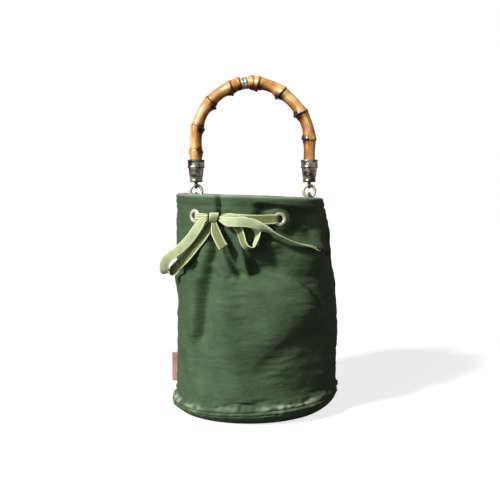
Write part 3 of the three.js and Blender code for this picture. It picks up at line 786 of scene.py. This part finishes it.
def make_shell():
    """The outer wall, rolled in at the rim, and the facing behind its top, which the channel lies in front of."""
    holes = [centre for centre, _ in EYELET_PLACES.values()]
    shell = cloth_tube("bag_wall", np.arange(ROWS), 0, SHELL, COTTON, holes, EYELET_CUT, FACING_AT)
    slack, under_roll = 0.3, 0.8
    rows = np.where((HEIGHTS >= FACING_BOTTOM) & (HEIGHTS < TOP - under_roll))[0]
    facing = cloth_tube("rim_facing_cloth", rows, FACING_AT + slack, FACING_AT + FACING + slack, COTTON)
    for piece, node in ((shell, "outer_shell"), (facing, "rim_facing")):
        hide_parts(node)
        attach(piece, "bag")


def make_lining():
    """The lining's wall, with a floor that closes in rings to its middle."""
    rows = np.where((HEIGHTS >= 24) & (HEIGHTS < FACING_BOTTOM - 1))[0]
    # Its rounded foot, below the wall's own rows, with the same columns as WALL_ROWS
    low = [(4.2, -88.2, 81, 83.6, 2.03), (10, -89.8, 88.4, 87.8, 2.05)]

    def level_outline(row, inset):
        points = plan_points(*row, inset)
        points[:, 2] = row[0]
        return points

    outside = [level_outline(row, 0) for row in low] + list(wall_layer(rows, LINING_AT))
    inside = [level_outline(row, LINING) for row in low] + list(wall_layer(rows, LINING_AT + LINING))
    inside[0][:, 2] += LINING
    floor_rings = np.linspace(1, 0.02, 10)[1:]
    middle = inside[0].mean(axis=0)

    def floor(edge):
        return [(edge - middle) * (s, s, 1) + middle for s in floor_rings]

    loops = [*floor(outside[0])[::-1], *outside, *inside[::-1], *floor(inside[0])]
    points = np.vstack(loops)
    uvs = np.column_stack([points[:, 0] + points[:, 1] * 0.3, points[:, 2] + points[:, 1]]) * MM
    lining = new_object("lining_cloth", points, ring_faces(len(loops), COLUMNS), LINING_CLOTH, uvs=uvs)
    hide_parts("lining")
    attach(lining, "bag")


make_shell()
make_lining()


def wall_point(u, height, inset=0.0):
    """A point of the finished wall at a place on the unrolled one, with its outward direction."""
    column = (u / ARC + 1.5 * math.pi) % (2 * math.pi) / (2 * math.pi) * COLUMNS
    row = np.clip((height - BOTTOM) / (TOP - BOTTOM) * (ROWS - 1), 0, ROWS - 1.001)
    i, j = int(row), int(column) % COLUMNS
    k = (j + 1) % COLUMNS
    a, b = row - i, column - int(column)
    out = []
    for field in (WALL, NORMALS):
        low = field[i, j] * (1 - b) + field[i, k] * b
        high = field[i + 1, j] * (1 - b) + field[i + 1, k] * b
        out.append(low * (1 - a) + high * a)
    point, normal = out
    return point - normal * inset, normal


# ---------------------------------------------------------------- base
def dish_ring(turn, skin):
    """One ring of the dish: turn is 0 on the edge of the flat circle and 1 at the seam."""
    angle = turn * math.pi / 2
    reach = BASE_FLAT - skin
    flat = np.column_stack([
        BASE_CENTRE_X + reach * np.cos(ANGLES), reach * np.sin(ANGLES), np.full(COLUMNS, skin)])
    seam = plan_points(DISH_HEIGHT, *SEAM_OUTLINE, skin)
    share = np.array([math.sin(angle), math.sin(angle), 1 - math.cos(angle)])
    return flat + (seam - flat) * share


def seam_puckers(j, level):
    """Small irregular gathers along the base seam, from -1 to 1, at a column of the grid."""
    angle = ANGLES[j]
    return noise.noise(Vector((math.cos(angle) * 16, math.sin(angle) * 16, 5.5 + level)))


def make_base():
    """The dish under the bag, a skin that tucks in below the seam and takes up its puckers."""
    tuck_in, pucker = 4.2, 1.6
    turns = np.linspace(0, 1, 14)
    under = []
    for turn in turns:
        ring = dish_ring(turn, 0)
        tuck = tuck_in * math.sin(math.pi * turn) ** 2 * turn
        for j in range(COLUMNS):
            out = ring[j] * (1, 1, 0) - (BASE_CENTRE_X, 0, 0)
            out /= np.linalg.norm(out)
            ring[j] += out * (pucker * seam_puckers(j, turn * 0.6) * turn ** 3 - tuck)
        under.append(ring)
    over = [dish_ring(turn, BASE_SKIN) for turn in turns[::-1]]
    flat_rings = np.linspace(0.02, 1, 6)[:-1]
    hub = np.array([BASE_CENTRE_X, 0, 0])

    def disc(edge):
        return [(edge - hub) * (s, s, 1) + hub for s in flat_rings]

    loops = [*disc(under[0]), *under, *over, *disc(over[-1])[::-1]]
    points = np.vstack(loops)
    uvs = np.column_stack([points[:, 0] + points[:, 2], points[:, 1]]) * MM
    panel = new_object("base_cloth", points, ring_faces(len(loops), COLUMNS), COTTON, uvs=uvs)
    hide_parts("base_panel")
    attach(panel, "bag")
    coat("base_board", BOARD)


def make_piping():
    """The welt in the base seam, pulled in and out by its puckers and paler in blotches, at half the paleness of
    the wall above it.
    """
    corners = 14
    line = plan_points(PIPING_HEIGHT, *SEAM_OUTLINE, PIPING_RADIUS / 2)
    up = np.array([0, 0, 1])
    points, highlight_and_paling = [], []
    for j in range(COLUMNS):
        out = line[j] * (1, 1, 0) / np.linalg.norm(line[j, :2])
        pull = seam_puckers(j, 0.6)
        centre = line[j] + out * (0.3 + 0.7 * pull) + up * (0.5 * seam_puckers(j, 9.0))
        radius = PIPING_RADIUS * (1.08 + 0.16 * pull)
        points += ring_round(centre, out, up, [radius] * corners, -1)
        highlight_and_paling += [0.5 * seam_paling(AROUND[j]) * min(1.0, max(0.0, 0.5 + 1.6 * seam_puckers(j, 3.0)))] * corners
    u = np.repeat(np.arange(COLUMNS) * ALL_ROUND / COLUMNS, corners)
    v = np.tile(np.arange(corners), COLUMNS)
    faces = ring_faces(COLUMNS, corners, closed=True)
    piping = new_object("base_welt", points, faces, COTTON, uvs=np.column_stack([u, v]) * MM)
    mark_points(piping, "highlight_and_paling", highlight_and_paling)
    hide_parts("base_piping")
    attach(piping, "bag")


make_base()
make_piping()


# ---------------------------------------------------------------- stitches
def make_stitches():
    """Two rows of stitches round the channel, each a short rounded thread."""
    pitch, long, thick, sides = 3.0, 2.0, 0.35, 6
    count = int(ALL_ROUND / pitch)
    for name, depth in (("hem_stitches", HEM_DEPTH), ("channel_stitches", CHANNEL_DEPTH)):
        points, faces = [], []
        height = TOP - depth
        for n in range(count):
            u = n * ALL_ROUND / count
            start, normal = wall_point(u - long / 2, height)
            end, _ = wall_point(u + long / 2, height)
            along = (end - start) / np.linalg.norm(end - start)
            up = np.cross(normal, along)
            base = len(points)
            for t, size, lift in ((0, 0.4, 0.0), (0.25, 1, 0.22), (0.75, 1, 0.22), (1, 0.4, 0.0)):
                points += ring_round(start + (end - start) * t + normal * lift, normal, up, [thick * size] * sides)
            faces += [tuple(base + v for v in face) for face in ring_faces(4, sides)]
        uvs = np.array([(p[0] + p[1], p[2]) for p in points]) * MM
        row = new_object(name, points, faces, THREAD, uvs=uvs)
        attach(row, "bag")


make_stitches()


# ---------------------------------------------------------------- label
def make_label():
    """A folded woven label, sewn into the left side seam. It is plain, and its root is straight."""
    width, tall, thick, foot = 6.8, 33.6, 1.1, 25.6
    sewn_in, bow = 0.6, 0.96
    columns, rows = 8, 24
    points, uvs = [], []
    low, normal = wall_point(SIDE_SEAMS[0], foot + 5)
    high, _ = wall_point(SIDE_SEAMS[0], foot + tall - 5)
    for side in (-1, 1):
        for i in range(rows + 1):
            z = foot + tall * i / rows
            root = low + (high - low) * (z - low[2]) / (high[2] - low[2])
            for j in range(columns + 1):
                t = j / columns
                fold = side * thick / 2 * math.sqrt(max(0, 1 - t ** 4))
                lean = bow * math.sin(i / rows * math.pi) * t
                points.append(root + normal * (width * t - sewn_in) + np.array([0, fold + lean, 0]))
                uvs.append((t * width * MM, z * MM))
    across = columns + 1
    layer = (rows + 1) * across
    faces = []
    for i in range(rows):
        for j in range(columns):
            a = i * across + j
            quad = (a, a + 1, a + across + 1, a + across)
            faces += [quad, tuple(layer + v for v in quad)[::-1]]
    # The rim between the two faces
    down = range(0, layer, across)
    along = range(across)
    rim = [*along, *(v + columns for v in down[1:]), *(v + rows * across for v in along[-2::-1]), *down[-2:0:-1]]
    for a, b in zip(rim, rim[1:] + rim[:1]):
        faces.append((a + layer, b + layer, b, a))
    label = new_object("woven_label", points, faces, LABEL_CLOTH, uvs=uvs)
    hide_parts("side_label")
    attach(label, "bag")


make_label()


# ---------------------------------------------------------------- eyelets
def make_eyelets():
    """Each eyelet's barrel with its rolled flange, and the washer behind the cloth."""
    flange = rounded([
        (EYELET_BORE, -2.4), (EYELET_BARREL, -2.4), (EYELET_BARREL, 0.1), (EYELET_OUTER - 0.2, 0.05),
        (EYELET_OUTER, 0.4), (EYELET_OUTER - 0.4, 0.9), (EYELET_OUTER - 1.6, 1.35), (EYELET_BORE + 1.0, 1.4),
        (EYELET_BORE + 0.1, 0.9), (EYELET_BORE, 0.2),
    ])
    back = rounded([(4.8, -2.5), (6.9, -2.4), (6.9, -2.05), (4.8, -1.9)], 0.15)
    for side, (centre, normal) in EYELET_PLACES.items():
        ring = lathe(f"eyelet_ring_{side}", flange, centre, PALE_METAL, 72, normal)
        washer = lathe(f"eyelet_back_{side}", back, centre, PALE_METAL, 64, normal)
        for piece, node in ((ring, f"eyelet_{side}"), (washer, f"eyelet_washer_{side}")):
            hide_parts(node)
            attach(piece, "bag")


make_eyelets()


# ---------------------------------------------------------------- ribbon
def out_of_eyelet(side, towards):
    """The start of a lead: up out of the eyelet's bore and over its flange."""
    centre, normal = EYELET_PLACES[side]
    along = np.array(towards) - centre
    along -= (along @ normal) * normal
    along /= np.linalg.norm(along)
    # How far out of the eyelet's face, and how far from its middle, the ribbon is at each step
    steps = ((-2.4, 0.2), (-0.6, 0.6), (1.2, 1.9), (2.2, 4.0), (2.3, 6.6), (1.9, 9.4))
    return [centre + rise * normal + reach * along for rise, reach in steps]


# Each strand's path, the ways its width lies along it, how narrow it is gathered at its two ends, and for some
# which face has painted shade
STRANDS = {
    "left_lead": dict(
        path=[*out_of_eyelet("left", (-50, -80, 221.3)), (-51.6, -79.6, 221.3), (-48.2, -82.6, 221)],
        across=[(0, 0, 1), (0, 0, 1)], narrow=(0.62, 0.4), grip=30),
    "right_lead": dict(
        path=[*out_of_eyelet("right", (-8, -89.2, 218)), (6.8, -87.2, 217.6), (-8, -89.4, 218),
              (-22, -87.6, 219), (-30, -85.4, 220.2), (-35.8, -84, 221)],
        across=[(0, 0, 1), (0, 0, 1)], narrow=(0.6, 0.4)),
    "left_loop": dict(
        path=[(-48.8, -88.4, 219.2), (-51, -88.2, 218.4), (-54.2, -87, 215.6), (-59.6, -82.8, 208.1),
              (-66.9, -76.5, 198.1), (-76.2, -69, 188.5), (-85.5, -62.5, 181), (-93.2, -58, 175.4),
              (-97.3, -54.5, 168.6), (-97.6, -51.5, 161.8), (-94.9, -48, 158.3), (-89.9, -46.5, 160.1),
              (-82.7, -51, 167.1), (-74.9, -59, 174.3), (-67.8, -67, 182.6), (-60.1, -74, 192.3),
              (-53.7, -78.8, 200.5), (-48.9, -81.8, 208.6), (-46, -83.8, 214.9)],
        across=[(0.45, -0.25, -0.86), (0.75, -0.15, -0.64), (0.65, -0.1, -0.75), (1, -0.1, 0.1),
                (0.7, -0.2, -0.66), (0.75, -0.2, -0.62), (0.8, -0.1, -0.6)],
        narrow=(0.4, 0.4)),
    "right_loop": dict(
        path=[(-35.8, -86.4, 219.6), (-28, -88.4, 218), (-21, -90, 214), (-16.1, -91.6, 208),
              (-13.3, -92.2, 201.3), (-11.1, -92.6, 193.9), (-7.6, -93, 189.4), (-2.6, -93, 189.4),
              (0.8, -93, 194.4), (3.2, -92, 201.4), (3.2, -90.8, 207), (0.2, -91, 211.6), (-7, -92.2, 215),
              (-17, -92.8, 217.4), (-27, -92.4, 218.6), (-35.8, -88.8, 219.6)],
        across=[(0, 0, 1), (0.5, -0.5, 0.6), (0.6, -0.75, 0.25), (0.45, -0.8, 0.35), (0.55, -0.4, 0.7),
                (0, -0.1, 1), (0, 0, 1)],
        narrow=(0.4, 0.4), painted_shade_on_top=True),
    "short_tail": dict(
        path=[(-41.4, -88.6, 214.6), (-40.9, -90.4, 210.6), (-39.8, -91.5, 205.4), (-37.2, -92.4, 199.1),
              (-34.4, -93, 193.6), (-31.6, -93.4, 189.4)],
        across=[(1, 0, 0.1), (0.9, 0, 0.42)], narrow=(0.5, 1), painted_shade_on_top=True),
    "long_tail": dict(
        path=[(-35.8, -91.6, 218.4), (-29, -95.8, 216.2), (-20.9, -98.4, 215.8), (-9.9, -99.6, 215.5),
              (-1.1, -99.6, 214.1), (6.6, -99, 210.8), (13.3, -97.5, 207.7), (23.4, -94, 202),
              (34.7, -89.5, 197.1), (46.3, -84, 192.9), (58, -78.5, 189.7), (67.6, -72.5, 185.9)],
        across=[(0, 0, 1), (0, 0, 1), (0, -0.35, 0.94), (-0.2, -0.88, 0.42), (-0.35, -0.92, 0.2),
                (-0.4, -0.9, 0.1), (-0.45, -0.88, 0.1)],
        narrow=(0.4, 1)),
}


def ribbon_strip(name, path, across, narrow, grip=10, painted_shade_on_top=False):
    """A woven ribbon with thicker edges, gently cupped, along a path. Gives the piece, its line and length.

    It opens out from its narrow ends over a length of grip."""
    _, length = catmull(path, 10)
    count = max(24, int(length / 1.2))
    line, length = catmull(path, count)
    tangent = tangents(line)
    keys = np.array(across, float)
    keys /= np.linalg.norm(keys, axis=1)[:, None]
    t = np.linspace(0, 1, count)
    at = t * (len(keys) - 1)
    low = np.minimum(at.astype(int), len(keys) - 2)
    wide = keys[low] + (keys[low + 1] - keys[low]) * (at - low)[:, None]
    wide -= (wide * tangent).sum(axis=1)[:, None] * tangent
    wide /= np.linalg.norm(wide, axis=1)[:, None]
    thick = np.cross(tangent, wide)
    taper = grip / length
    ease = np.minimum(
        narrow[0] + (1 - narrow[0]) * np.minimum(1, t / taper),
        narrow[1] + (1 - narrow[1]) * np.minimum(1, (1 - t) / taper),
    )
    spans = 14
    corners = 2 * (spans + 1)
    s = np.linspace(-1, 1, spans + 1)
    pleat, cupping, selvedge_from, selvedge_extra = 0.9, 0.35, 0.84, 0.45
    gather = (1 - ease)[:, None] * pleat * np.cos(s * math.pi * 2.5)[None, :]
    cup = cupping * (1 - s ** 2)[None, :] + gather
    edge = RIBBON_THICK / 2 * (1 + selvedge_extra * (np.abs(s) > selvedge_from))[None, :]
    middle = line[:, None, :] + wide[:, None, :] * (s[None, :] * ease[:, None] * RIBBON_WIDTH / 2)[:, :, None]
    middle = middle + thick[:, None, :] * cup[:, :, None]
    top = middle + thick[:, None, :] * edge[:, :, None]
    bottom = middle - thick[:, None, :] * edge[:, :, None]
    rings = np.concatenate([top, bottom[:, ::-1]], axis=1)
    points = rings.reshape(-1, 3)
    u = np.tile(np.concatenate([s, s[::-1]]) * RIBBON_WIDTH / 2, count)
    v = np.repeat(t * length, corners)
    uvs = np.column_stack([u, v]) * MM
    piece = new_object(name, points, ring_faces(count, corners), RIBBON_CLOTH, uvs=uvs)
    # One face of each strand is painted olive as painted shade: the top face where the strand's flag says so, else
    # the bottom one
    on_top = np.tile(np.repeat([1, 0], spans + 1), count)
    mark_points(piece, "painted_shade_side", on_top if painted_shade_on_top else 1 - on_top)
    return piece, line, length


def make_knot():
    """The knot is a band of ribbon drawn round the crossing strands."""
    centre = np.array([-42.2, -86.6, 220.0])
    radius = np.array([0, 2.5, 3.4])
    rings, around = 34, 20
    points, uvs, painted_shade = [], [], []
    for i in range(rings):
        turn = 2 * math.pi * i / rings
        for k in range(around):
            angle = 2 * math.pi * k / around
            crease = 0.28 * math.sin(3 * turn + 1.2 * math.cos(angle))
            across = 4.4 * math.cos(angle) * (1 + 0.12 * math.sin(turn))
            high = 1.5 + 0.7 * math.sin(angle) + crease
            out = np.array([0, math.cos(turn), math.sin(turn)])
            shift = np.array([across + 0.9 * math.sin(turn), 0, 0])
            points.append(centre + radius * out + out * high * 0.9 + shift)
            uvs.append((across * MM, turn * 4 * MM))
            # painted shade: the knot's band is painted olive over its lower half, fading out towards its top
            painted_shade.append(0.75 - 0.75 * max(0.0, math.sin(turn)))
    piece = new_object("ribbon_knot_wrap", points, ring_faces(rings, around, closed=True), RIBBON_CLOTH, uvs=uvs)
    mark_points(piece, "painted_shade_side", painted_shade)
    smooth = piece.modifiers.new("smooth", "SUBSURF")
    smooth.levels = smooth.render_levels = 1
    return piece


def channel_ribbon():
    """The ribbon inside the channel, from the left eyelet round the back to the right one."""
    start = front(EYELETS["right"][0], 220)[0] + 10
    end = front(EYELETS["left"][0], 220)[0] - 10 + ALL_ROUND
    count, heights, outer = 200, np.linspace(215.5, 225.5, 5), 1.5
    edge = [(h, outer) for h in heights] + [(h, outer + RIBBON_THICK) for h in heights[::-1]]
    points, uvs = [], []
    for i in range(count):
        u = start + (end - start) * i / (count - 1)
        points += [wall_point(u, h, inset)[0] for h, inset in edge]
        uvs += [(h * MM, u * MM) for h, _ in edge]
    return new_object("channel_ribbon", points, ring_faces(count, len(edge)), RIBBON_CLOTH, uvs=uvs)


def make_ribbon():
    """Every strand of the drawstring. The two loops and the long tail hang free."""
    made = {}
    for key, route in STRANDS.items():
        piece, line, length = ribbon_strip(f"ribbon_{key}_strip", **route)
        made[key] = piece, line * MM, length * MM
        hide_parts(f"ribbon_{key}")
    knot = make_knot()
    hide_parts("ribbon_knot")
    hidden = channel_ribbon()
    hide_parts("ribbon_channel")
    for piece in [knot, hidden, *(m[0] for m in made.values())]:
        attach(piece, "bag")
    on_it = [knot, made["short_tail"][0], made["left_lead"][0], made["right_lead"][0]]
    for key, end, pieces in (
        ("left_loop", "object", []),
        ("right_loop", "object", []),
        ("long_tail", "bare", on_it),
    ):
        piece, line, length = made[key]


make_ribbon()


# ---------------------------------------------------------------- handle
def cane_point(distance):
    """The middle of the cane at a distance along it from its left end."""
    if distance < LEG:
        return np.array([LEG_X["left"], 0, CANE_END_Z + distance])
    if distance > LEG + ARCH_LENGTH:
        return np.array([LEG_X["right"], 0, ARCH_Z - (distance - LEG - ARCH_LENGTH)])
    angle = math.pi - (distance - LEG) / ARCH_RADIUS
    squeeze = 1 - SHOULDER_DROP * math.sin(2 * angle) ** 2 if angle < math.pi / 2 else 1
    radius = ARCH_RADIUS * squeeze
    return np.array([ARCH_X + radius * math.cos(angle), 0, ARCH_Z + radius * math.sin(angle)])


# Bamboo nodes: distance along the cane, how far it stands out, its lean round the cane in degrees
CANE_NODES = {
    "left": [(26, 1.8, 10), (54, 1.9, 220), (86, 2.4, 285), (115, 2.3, 262), (126.5, 1.2, 90)],
    "right": [(140, 1.5, 30), (147, 2.2, 262), (176, 2.6, 268), (210, 2.4, 235), (241, 1.9, 320)],
}


def node_shape(offset):
    """A node's outline along the cane: a sharp lip, a groove beside it and a slow swelling."""
    lip = 0.30 * math.exp(-(offset / 1.5) ** 2)
    groove = -0.26 * math.exp(-((offset - 2.4) / 1.0) ** 2)
    swelling = 0.80 * math.exp(-(offset / 5.6) ** 2)
    return lip + groove + swelling


def make_cane(side, start, end):
    """One half of the cane, with its nodes, dark stains round them, painted shade along its inner side and a
    painted highlight on the outer side of each node.
    """
    around, spacing, node_reach = 40, 0.55, 16
    count = int((end - start) / spacing)
    points, uvs, near = [], [], []
    for i in range(count + 1):
        distance = start + (end - start) * i / count
        centre = cane_point(distance)
        tangent = cane_point(distance + 0.5) - cane_point(distance - 0.5)
        tangent /= np.linalg.norm(tangent)
        across = np.array([0, 1, 0])
        out = np.cross(tangent, across)
        rounding = min(1, math.sqrt(max(0.0, min(distance - start, end - distance)) / 1.2) * 0.25 + 0.78)
        radii = []
        for k in range(around):
            angle = 2 * math.pi * k / around
            inner = max(0.0, -math.sin(angle))
            radius = CANE_RADIUS
            # painted shade: the cane's inner side is darker all along
            dark = 0.5 * inner
            for at, rise, lean in CANE_NODES[side]:
                offset = distance - at + 0.9 * math.cos(angle - math.radians(lean))
                if abs(offset) > node_reach:
                    continue
                lopsided = 1 + 0.5 * math.cos(angle - math.radians(lean))
                radius += rise * lopsided * node_shape(offset)
                line = (0.45 + 0.55 * inner) * math.exp(-((offset - 1.7) / 1.2) ** 2)
                blotch = 1.6 * inner ** 0.8 * math.exp(-((offset - 0.5) / 6.0) ** 2)
                # painted highlight: paler just before each node, on the cane's outer side
                pale = 0.5 * (1 - inner) * math.exp(-((offset + 2.2) / 2.0) ** 2)
                dark = max(dark - pale, min(1.0, line + blotch))
            p = Vector((math.cos(angle) * 1.4, math.sin(angle) * 1.4, distance / 16))
            radius += 0.32 * noise.noise(p) + 0.12 * noise.noise(p * 3.7)
            radii.append(radius * rounding)
            uvs.append((angle * CANE_RADIUS * MM, distance * MM))
            near.append(dark)
        points += ring_round(centre, across, out, radii)
    cane = new_object(f"cane_{side}", points, ring_faces(count + 1, around), BAMBOO, uvs=uvs)
    mark_points(cane, "stains_shade_and_highlight", near)
    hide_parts(f"bamboo_{side}")
    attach(cane, "handle")


def make_coupler():
    """The metal sleeve over the joint between the two halves of the cane."""
    half = COUPLER_WIDTH / 2
    direction = cane_point(COUPLER_AT + 1) - cane_point(COUPLER_AT - 1)
    profile = rounded([
        (2.9, -half), (COUPLER_RADIUS - 0.5, -half), (COUPLER_RADIUS + 0.3, -half + 0.8),
        (COUPLER_RADIUS, -0.8), (COUPLER_RADIUS - 0.6, 0), (COUPLER_RADIUS, 0.8),
        (COUPLER_RADIUS + 0.3, half - 0.8), (COUPLER_RADIUS - 0.5, half), (2.9, half),
    ], 0.4)
    coupler = lathe("crown_sleeve", profile, cane_point(COUPLER_AT), WORN_PEWTER, 64, direction)
    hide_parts("crown_coupler")
    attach(coupler, "handle")
    coat("crown_dowel", HARDWOOD)


def make_ferrule(side, x):
    """The metal cup over the cane's end, and the wider band round its mouth."""
    cup = rounded([
        (2.7, FERRULE_BOTTOM), (6.2, FERRULE_BOTTOM), (7.2, FERRULE_BOTTOM + 0.7),
        (7.4, FERRULE_BOTTOM + 2.4), (6.9, FERRULE_BOTTOM + 3.4), (7.8, FERRULE_BOTTOM + 8),
        (8.5, COLLAR_BOTTOM - 2), (8.6, COLLAR_BOTTOM), (8.6, FERRULE_TOP - 0.2), (7.3, FERRULE_TOP - 0.2),
        (7.3, FERRULE_FLOOR), (2.7, FERRULE_FLOOR),
    ], 0.5)
    band = rounded([
        (8.75, COLLAR_BOTTOM), (COLLAR_OUTER - 0.6, COLLAR_BOTTOM), (COLLAR_OUTER, COLLAR_BOTTOM + 0.9),
        (COLLAR_OUTER - 0.5, COLLAR_BOTTOM + 2.2), (COLLAR_OUTER - 0.6, FERRULE_TOP - 2.4),
        (COLLAR_OUTER, FERRULE_TOP - 1.1), (COLLAR_OUTER - 0.7, FERRULE_TOP), (8.75, FERRULE_TOP),
    ], 0.45)
    ferrule = lathe(f"ferrule_cup_{side}", cup, (x, 0, 0), PEWTER, 72)
    collar = lathe(f"ferrule_band_{side}", band, (x, 0, 0), PEWTER, 72)
    for piece, node in ((ferrule, f"ferrule_{side}"), (collar, f"ferrule_collar_{side}")):
        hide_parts(node)
        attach(piece, "handle")
    coat(f"ferrule_pin_{side}", PEWTER)
    coat(f"eye_{side}", PEWTER)


def make_ring(side, x):
    wire = [(RING_RADIUS + RING_SEEN * math.cos(a), RING_SEEN * math.sin(a))
            for a in np.linspace(0, 2 * math.pi, 20, endpoint=False)]
    ring = lathe(f"round_ring_{side}", wire, (x, 0, RING_AXIS_Z - RING_RADIUS), PALE_METAL, 72, (0, 1, 0))
    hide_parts(f"ring_{side}")
    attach(ring, f"{side}_ring")


def make_handle():
    reach = COUPLER_WIDTH / 2 + 0.3
    make_cane("left", 0, COUPLER_AT - reach)
    make_cane("right", COUPLER_AT + reach, 2 * LEG + ARCH_LENGTH)
    make_coupler()
    for side, x in LEG_X.items():
        make_ferrule(side, x)
        make_ring(side, x)


make_handle()


# ---------------------------------------------------------------- fabric loops that hold the rings
# Each loop's two legs inside the rim, from its sewn end up: x and height
LOOP_LEGS = {
    "left": [(-80.4, 206), (-80.2, 218), (-77.6, 228), (-71.6, 236)],
    "right": [(78.2, 206), (75, 218), (71.4, 228), (66.8, 236)],
}
LOOP_BEND, LOOP_STRAND = 3.95, 1.7      # radius of the bend over the ring, and of the rolled cloth


def make_loops():
    """Rolled strips with a seam, sewn inside the rim, up and over the foot of each ring."""
    foot = RING_AXIS_Z - 2 * RING_RADIUS
    count, around = 110, 16
    angles = 2 * math.pi * np.arange(around) / around
    seam = 1 - 0.14 * np.exp(-((angles - math.pi) / 0.5) ** 2)
    for side, legs in LOOP_LEGS.items():
        bend = [(LEG_X[side], LOOP_BEND * math.cos(a), foot + LOOP_BEND * math.sin(a))
                for a in np.linspace(0, math.pi, 7)]
        up = [(x, LOOP_BEND + 0.3, z) for x, z in legs]
        down = [(x, -LOOP_BEND - 0.3, z) for x, z in legs[::-1]]
        line, length = catmull([*up, *bend, *down], count)
        points, uvs = [], []
        for i, (centre, t) in enumerate(zip(line, tangents(line))):
            a = np.cross(t, (1, 0.2, 0.1))
            a /= np.linalg.norm(a)
            rolled = LOOP_STRAND * (1 + 0.04 * math.sin(i * 0.8))
            points += ring_round(centre, a, np.cross(t, a), rolled * seam)
            uvs += [(angle * LOOP_STRAND * MM, i / count * length * MM) for angle in angles]
        loop = new_object(f"rolled_loop_{side}", points, ring_faces(count, around), COTTON, uvs=uvs)
        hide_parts(f"handle_loop_{side}")
        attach(loop, "bag")


make_loops()


# ---------------------------------------------------------------- floor and light
WHITE = (1, 1, 1, 1)


def make_floor():
    """A pale floor that photographs near white, with a soft shadow, and throws little light back up."""
    material, look, shader = new_look("pale_floor")
    look.fill(shader, {"Base Color": (0.10, 0.10, 0.10, 1), "Roughness": 0.9})
    glow = look.add("BsdfPrincipled", {
        "Base Color": (0.26, 0.26, 0.26, 1), "Roughness": 1.0, "Specular IOR Level": 0,
        "Emission Color": WHITE, "Emission Strength": 0.80})
    look.fill(look.nodes["Material Output"], {"Surface": look.studio_white(shader.outputs[0], glow)})
    half, level = 6000, -0.1
    corners = [(x * half, y * half, level) for x, y in ((-1, -1), (1, -1), (1, 1), (-1, 1))]
    new_object("floor", corners, [(0, 1, 2, 3)], material)


def area_light(name, place, target, size, energy, colour=(1, 1, 1)):
    data = bpy.data.lights.new(name, "AREA")
    data.size = size
    data.energy = energy
    data.color = colour
    light = bpy.data.objects.new(name, data)
    light.location = place
    light.rotation_euler = (Vector(target) - Vector(place)).to_track_quat("-Z", "Y").to_euler()
    bpy.context.collection.objects.link(light)


def sun_light(name, towards, strength, spread, colour):
    data = bpy.data.lights.new(name, "SUN")
    data.energy = strength
    data.angle = math.radians(spread)
    data.color = colour
    light = bpy.data.objects.new(name, data)
    light.rotation_euler = Vector(towards).to_track_quat("Z", "Y").to_euler()
    bpy.context.collection.objects.link(light)


def make_world():
    """Dim white light from all round, behind which the camera sees plain white."""
    world = bpy.data.worlds.new("studio")
    bpy.context.scene.world = world
    world.use_nodes = True
    look = Look(world.node_tree)
    room = look.nodes["Background"]
    look.fill(room, {"Color": WHITE, "Strength": 0.115})
    backdrop = look.add("Background", {"Color": WHITE, "Strength": 1.0})
    look.fill(look.nodes["World Output"], {"Surface": look.studio_white(room.outputs[0], backdrop)})


make_floor()
make_world()
sun_light("key", (-0.62, -0.54, 0.57), 5.3, 6, (1, 0.985, 0.95))
area_light("soft_box", (-1.2, -1.5, 0.9), (0, 0, 0.2), 0.8, 9)
area_light("right_fill", (1.4, 0.05, 0.35), (0, 0, 0.15), 1.6, 2.4, (1, 0.86, 0.66))
bpy.context.scene.view_settings.view_transform = "Standard"
